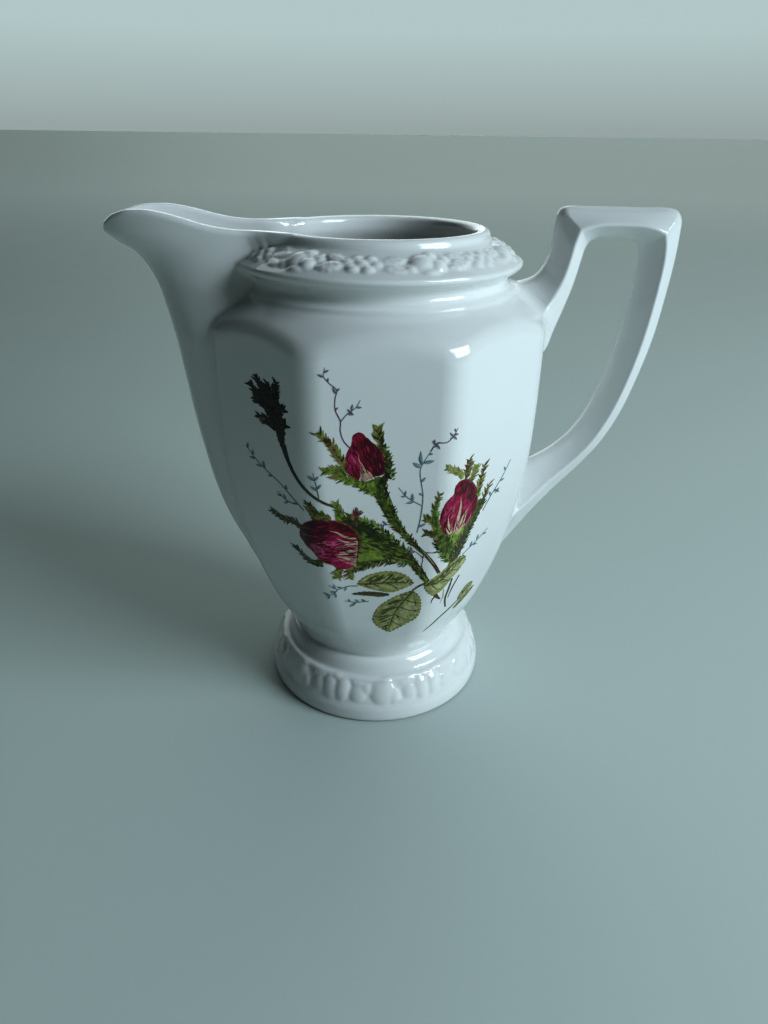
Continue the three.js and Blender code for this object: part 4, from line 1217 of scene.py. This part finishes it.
def ink_object(name, films):
    """All films of one colour as one object. Each is a thin closed sheet that reaches into the glaze."""
    points, groups, base = [], [], 0
    for layer, verts, tris in films:
        a, b, c = verts[tris[:, 0]], verts[tris[:, 1]], verts[tris[:, 2]]
        turn = (b[:, 0] - a[:, 0]) * (c[:, 1] - a[:, 1]) - (b[:, 1] - a[:, 1]) * (c[:, 0] - a[:, 0])
        tris = tris[np.abs(turn) > 1e-7]
        turn = turn[np.abs(turn) > 1e-7]
        tris = np.where((turn < 0)[:, None], tris[:, ::-1], tris)
        edges = np.concatenate([tris[:, [0, 1]], tris[:, [1, 2]], tris[:, [2, 0]]])
        n = len(verts)
        key = edges[:, 0] * n + edges[:, 1]
        rim = edges[~np.isin(key, edges[:, 1] * n + edges[:, 0])]
        points.append((layer, verts))
        groups.append(np.vstack([tris, tris[:, ::-1] + n,
                                 np.stack([rim[:, 1], rim[:, 0], rim[:, 0] + n], 1),
                                 np.stack([rim[:, 1], rim[:, 0] + n, rim[:, 1] + n], 1)]) + base)
        base += 2 * n
    flat = np.vstack([v for _, v in points])
    height = np.concatenate([np.full(len(v), FILM_LIFT + LAYER_LIFT * l) for l, v in points])
    p, g = on_glaze(flat)
    at, out, normal = 0, [], []
    for _, v in points:
        n = len(v)
        here, way = p[at:at + n], g[at:at + n]
        out += [here + way * height[at:at + n, None], here - way * FILM_SINK]
        normal += [way, way]
        at += n
    obj = mesh_object(name, np.vstack(out), [np.vstack(groups)], np.vstack(normal))
    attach(obj, "root")
    return obj


ink_objects = {ink: ink_object("print_" + ink, films) for ink, films in ART.items()}


# ------------------------------------------------------------------ materials
def new_material(name):
    mat = bpy.data.materials.new(name)
    mat.use_nodes = True
    nodes = mat.node_tree.nodes
    return mat, nodes, mat.node_tree.links, nodes["Principled BSDF"], nodes.new("ShaderNodeTexCoord")


def porcelain_material(name, bare_foot=False):
    """Hard white glaze with faint changes of tone and gloss and a very slight waviness."""
    mat, nodes, links, shader, where = new_material(name)

    def noise(scale, detail=2.0):
        node = nodes.new("ShaderNodeTexNoise")
        node.inputs["Scale"].default_value = scale
        node.inputs["Detail"].default_value = detail
        links.new(where.outputs["Object"], node.inputs["Vector"])
        return node.outputs["Fac"]

    def ramp(source, stops):
        node = nodes.new("ShaderNodeValToRGB")
        while len(node.color_ramp.elements) < len(stops):
            node.color_ramp.elements.new(0.5)
        for element, (at, colour) in zip(node.color_ramp.elements, stops):
            element.position = at
            element.color = (*colour, 1)
        links.new(source, node.inputs["Fac"])
        return node.outputs["Color"]

    tone = ramp(noise(28), [(0.3, (0.79, 0.80, 0.79)), (0.7, (0.83, 0.835, 0.825))])
    gloss = ramp(noise(45, 3), [(0.3, (0.035,) * 3), (0.75, (0.075,) * 3)])
    bump = nodes.new("ShaderNodeBump")
    bump.inputs["Strength"].default_value = 0.5
    bump.inputs["Distance"].default_value = 0.00005
    links.new(noise(70, 1), bump.inputs["Height"])
    links.new(bump.outputs["Normal"], shader.inputs["Normal"])
    if bare_foot:
        # the ring the jug stands on is left unglazed: matt, a little warmer and faintly soiled
        split = nodes.new("ShaderNodeSeparateXYZ")
        links.new(where.outputs["Object"], split.inputs[0])
        lift = nodes.new("ShaderNodeMath")
        lift.operation = "MULTIPLY_ADD"
        links.new(noise(300), lift.inputs[0])
        lift.inputs[1].default_value = 0.0003
        links.new(split.outputs["Z"], lift.inputs[2])
        bare = nodes.new("ShaderNodeMapRange")
        bare.inputs["From Min"].default_value = 0.00045
        bare.inputs["From Max"].default_value = 0.0006
        links.new(lift.outputs[0], bare.inputs["Value"])
        clay = ramp(noise(420, 4), [(0.3, (0.50, 0.47, 0.42)), (0.7, (0.70, 0.68, 0.63))])
        for source, plain, socket in ((tone, clay, "Base Color"), (gloss, None, "Roughness")):
            mix = nodes.new("ShaderNodeMix")
            mix.data_type = "RGBA"
            links.new(bare.outputs[0], mix.inputs["Factor"])
            if plain is None:
                mix.inputs[6].default_value = (0.75, 0.75, 0.75, 1)
            else:
                links.new(plain, mix.inputs[6])
            links.new(source, mix.inputs[7])
            links.new(mix.outputs[2], shader.inputs[socket])
    else:
        links.new(tone, shader.inputs["Base Color"])
        links.new(gloss, shader.inputs["Roughness"])
    shader.inputs["IOR"].default_value = 1.5
    return mat


def ink_material(name, colour, vary):
    """Fired enamel: a brushed, slightly uneven colour under the same gloss as the glaze."""
    mat, nodes, links, shader, where = new_material(name)
    noise = nodes.new("ShaderNodeTexNoise")
    noise.inputs["Scale"].default_value = 900
    noise.inputs["Detail"].default_value = 3
    links.new(where.outputs["Object"], noise.inputs["Vector"])
    ramp = nodes.new("ShaderNodeValToRGB")
    ramp.color_ramp.elements[0].position = 0.3
    ramp.color_ramp.elements[1].position = 0.7
    low = tuple(c * (1 - vary) for c in colour)
    high = tuple(min(1, c * (1 + vary)) for c in colour)
    ramp.color_ramp.elements[0].color = (*low, 1)
    ramp.color_ramp.elements[1].color = (*high, 1)
    links.new(noise.outputs["Fac"], ramp.inputs["Fac"])
    links.new(ramp.outputs["Color"], shader.inputs["Base Color"])
    shader.inputs["Roughness"].default_value = 0.16
    shader.inputs["IOR"].default_value = 1.5
    return mat


glaze = porcelain_material("glazed_porcelain")
foot_glaze = porcelain_material("glazed_porcelain_foot", True)
for name, obj in jug_objects.items():
    obj.data.materials.append(foot_glaze if name == "foot" else glaze)
for ink, obj in ink_objects.items():
    obj.data.materials.append(ink_material("enamel_" + ink, *INK[ink]))


# ------------------------------------------------------------------ floor, light and camera
def floor_material():
    """Pale matt board with a faint mottle, and painted light: darker near the jug and paler far from it."""
    mat, nodes, links, shader, where = new_material("pale_floor")
    shader.inputs["Roughness"].default_value = 0.5
    away = nodes.new("ShaderNodeVectorMath")
    away.operation = "LENGTH"
    links.new(where.outputs["Object"], away.inputs[0])
    mottle = nodes.new("ShaderNodeTexNoise")
    mottle.inputs["Scale"].default_value = 22
    mottle.inputs["Detail"].default_value = 6
    links.new(where.outputs["Object"], mottle.inputs["Vector"])
    uneven = nodes.new("ShaderNodeMath")
    uneven.operation = "MULTIPLY_ADD"
    links.new(mottle.outputs["Fac"], uneven.inputs[0])
    uneven.inputs[1].default_value = 0.16
    links.new(away.outputs["Value"], uneven.inputs[2])
    # painted light: the colour runs from darker near the jug to paler far from it
    far = nodes.new("ShaderNodeMapRange")
    far.interpolation_type = "SMOOTHSTEP"
    far.inputs["From Min"].default_value = 0.3
    far.inputs["From Max"].default_value = 2.2
    links.new(uneven.outputs[0], far.inputs["Value"])
    shade = nodes.new("ShaderNodeValToRGB")
    shade.color_ramp.elements[0].color = (0.49, 0.54, 0.53, 1)
    shade.color_ramp.elements[1].color = (0.86, 0.90, 0.89, 1)
    links.new(far.outputs["Result"], shade.inputs["Fac"])
    links.new(shade.outputs["Color"], shader.inputs["Base Color"])
    return mat


bpy.ops.mesh.primitive_plane_add(size=60, location=(0, 0, float(AXIS[2])))
floor = bpy.context.object
floor.name = "floor"
floor.data.materials.append(floor_material())

settings = bpy.context.scene.view_settings
settings.view_transform = "Standard"
settings.look = "High Contrast"
world = bpy.data.worlds.new("studio")
bpy.context.scene.world = world
world.use_nodes = True
tree = world.node_tree
sky = tree.nodes["Background"]
sky.inputs[0].default_value = (0.80, 1.0, 0.90, 1)
sky.inputs[1].default_value = 0.01
backdrop = tree.nodes.new("ShaderNodeBackground")
heights = tree.nodes.new("ShaderNodeTexCoord")
split = tree.nodes.new("ShaderNodeSeparateXYZ")
fade = tree.nodes.new("ShaderNodeValToRGB")
fade.color_ramp.elements[0].position = 0.0
fade.color_ramp.elements[0].color = (0.27, 0.315, 0.31, 1)
fade.color_ramp.elements[1].position = 0.10
fade.color_ramp.elements[1].color = (0.36, 0.44, 0.44, 1)
tree.links.new(heights.outputs["Generated"], split.inputs[0])
tree.links.new(split.outputs["Z"], fade.inputs[0])
tree.links.new(fade.outputs[0], backdrop.inputs[0])
seen = tree.nodes.new("ShaderNodeLightPath")
either = tree.nodes.new("ShaderNodeMixShader")
tree.links.new(seen.outputs["Is Camera Ray"], either.inputs[0])
tree.links.new(sky.outputs[0], either.inputs[1])
tree.links.new(backdrop.outputs[0], either.inputs[2])
tree.links.new(either.outputs[0], tree.nodes["World Output"].inputs["Surface"])


def light(name, kind, azimuth, elevation, energy, colour):
    """A light turned towards the jug, and the way from the jug to it. Azimuth 0 is the camera side and
    90 the handle side."""
    a, e = math.radians(azimuth), math.radians(elevation)
    out = Vector((math.cos(e) * math.sin(a), -math.cos(e) * math.cos(a), math.sin(e)))
    data = bpy.data.lights.new(name, kind)
    data.energy, data.color = energy, colour
    obj = bpy.data.objects.new(name, data)
    obj.rotation_mode = "QUATERNION"
    obj.rotation_quaternion = (-out).to_track_quat("-Z", "Y")
    bpy.context.scene.collection.objects.link(obj)
    return obj, out


def window_light(name, azimuth, elevation, distance, size, power, colour, rise):
    """A soft rectangle aimed at the jug's middle, moved up or down in its own plane by rise."""
    obj, out = light(name, "AREA", azimuth, elevation, power, colour)
    obj.data.shape = "RECTANGLE"
    obj.data.size, obj.data.size_y = size
    middle = Vector([float(v) for v in AXIS]) + Vector((0, 0, 0.065))
    obj.location = middle + out * distance + obj.rotation_quaternion @ Vector((0, rise, 0))


def soft_sun(name, azimuth, elevation, spread, strength, colour, lit=None):
    """A very wide sun, as even near the jug as far out, which may light only the objects in lit."""
    obj, _ = light(name, "SUN", azimuth, elevation, strength, colour)
    obj.data.angle = math.radians(spread)
    if lit is not None:
        obj.light_linking.receiver_collection = lit


def collection_of(name, objects):
    made = bpy.data.collections.new(name)
    for obj in objects:
        made.objects.link(obj)
    return made


DAYLIGHT = (0.78, 0.92, 1.0)
only_floor = collection_of("only_floor", [floor])
only_jug = collection_of("only_jug", [*jug_objects.values(), *ink_objects.values()])
for name, rise in (("window_upper", 0.115), ("window_lower", -0.115)):
    window_light(name, 60, 27, distance=0.9, size=(0.46, 0.19), power=2.75, colour=DAYLIGHT, rise=rise)
soft_sun("wall_bounce", 168, 26, spread=60, strength=0.27, colour=(0.86, 1.0, 0.97))
soft_sun("room_behind", 196, 22, spread=60, strength=0.7, colour=(0.86, 0.97, 1.0), lit=only_jug)
soft_sun("floor_fill", 140, 60, spread=120, strength=0.66, colour=(0.84, 1.0, 0.98), lit=only_floor)

CAMERA_PLACE = (-0.00447, -0.1782, 0.1395)   # metres from the foot of the pot's axis
YAW, DOWN, ROLL = -2.1, 27.31, 0.75   # degrees
camera_data = bpy.data.cameras.new("camera")
camera = bpy.data.objects.new("camera", camera_data)
bpy.context.scene.collection.objects.link(camera)
bpy.context.scene.camera = camera
camera_data.sensor_fit = "AUTO"
camera_data.sensor_width = 36
camera_data.lens = 25.98
camera_data.clip_start = 0.01
camera.matrix_world = (
    Matrix.Translation(Vector(CAMERA_PLACE) + Vector([float(a) for a in AXIS]))
    @ Matrix.Rotation(math.radians(YAW), 4, "Z")
    @ Matrix.Rotation(math.radians(90 - DOWN), 4, "X")
    @ Matrix.Rotation(math.radians(ROLL), 4, "Z"))
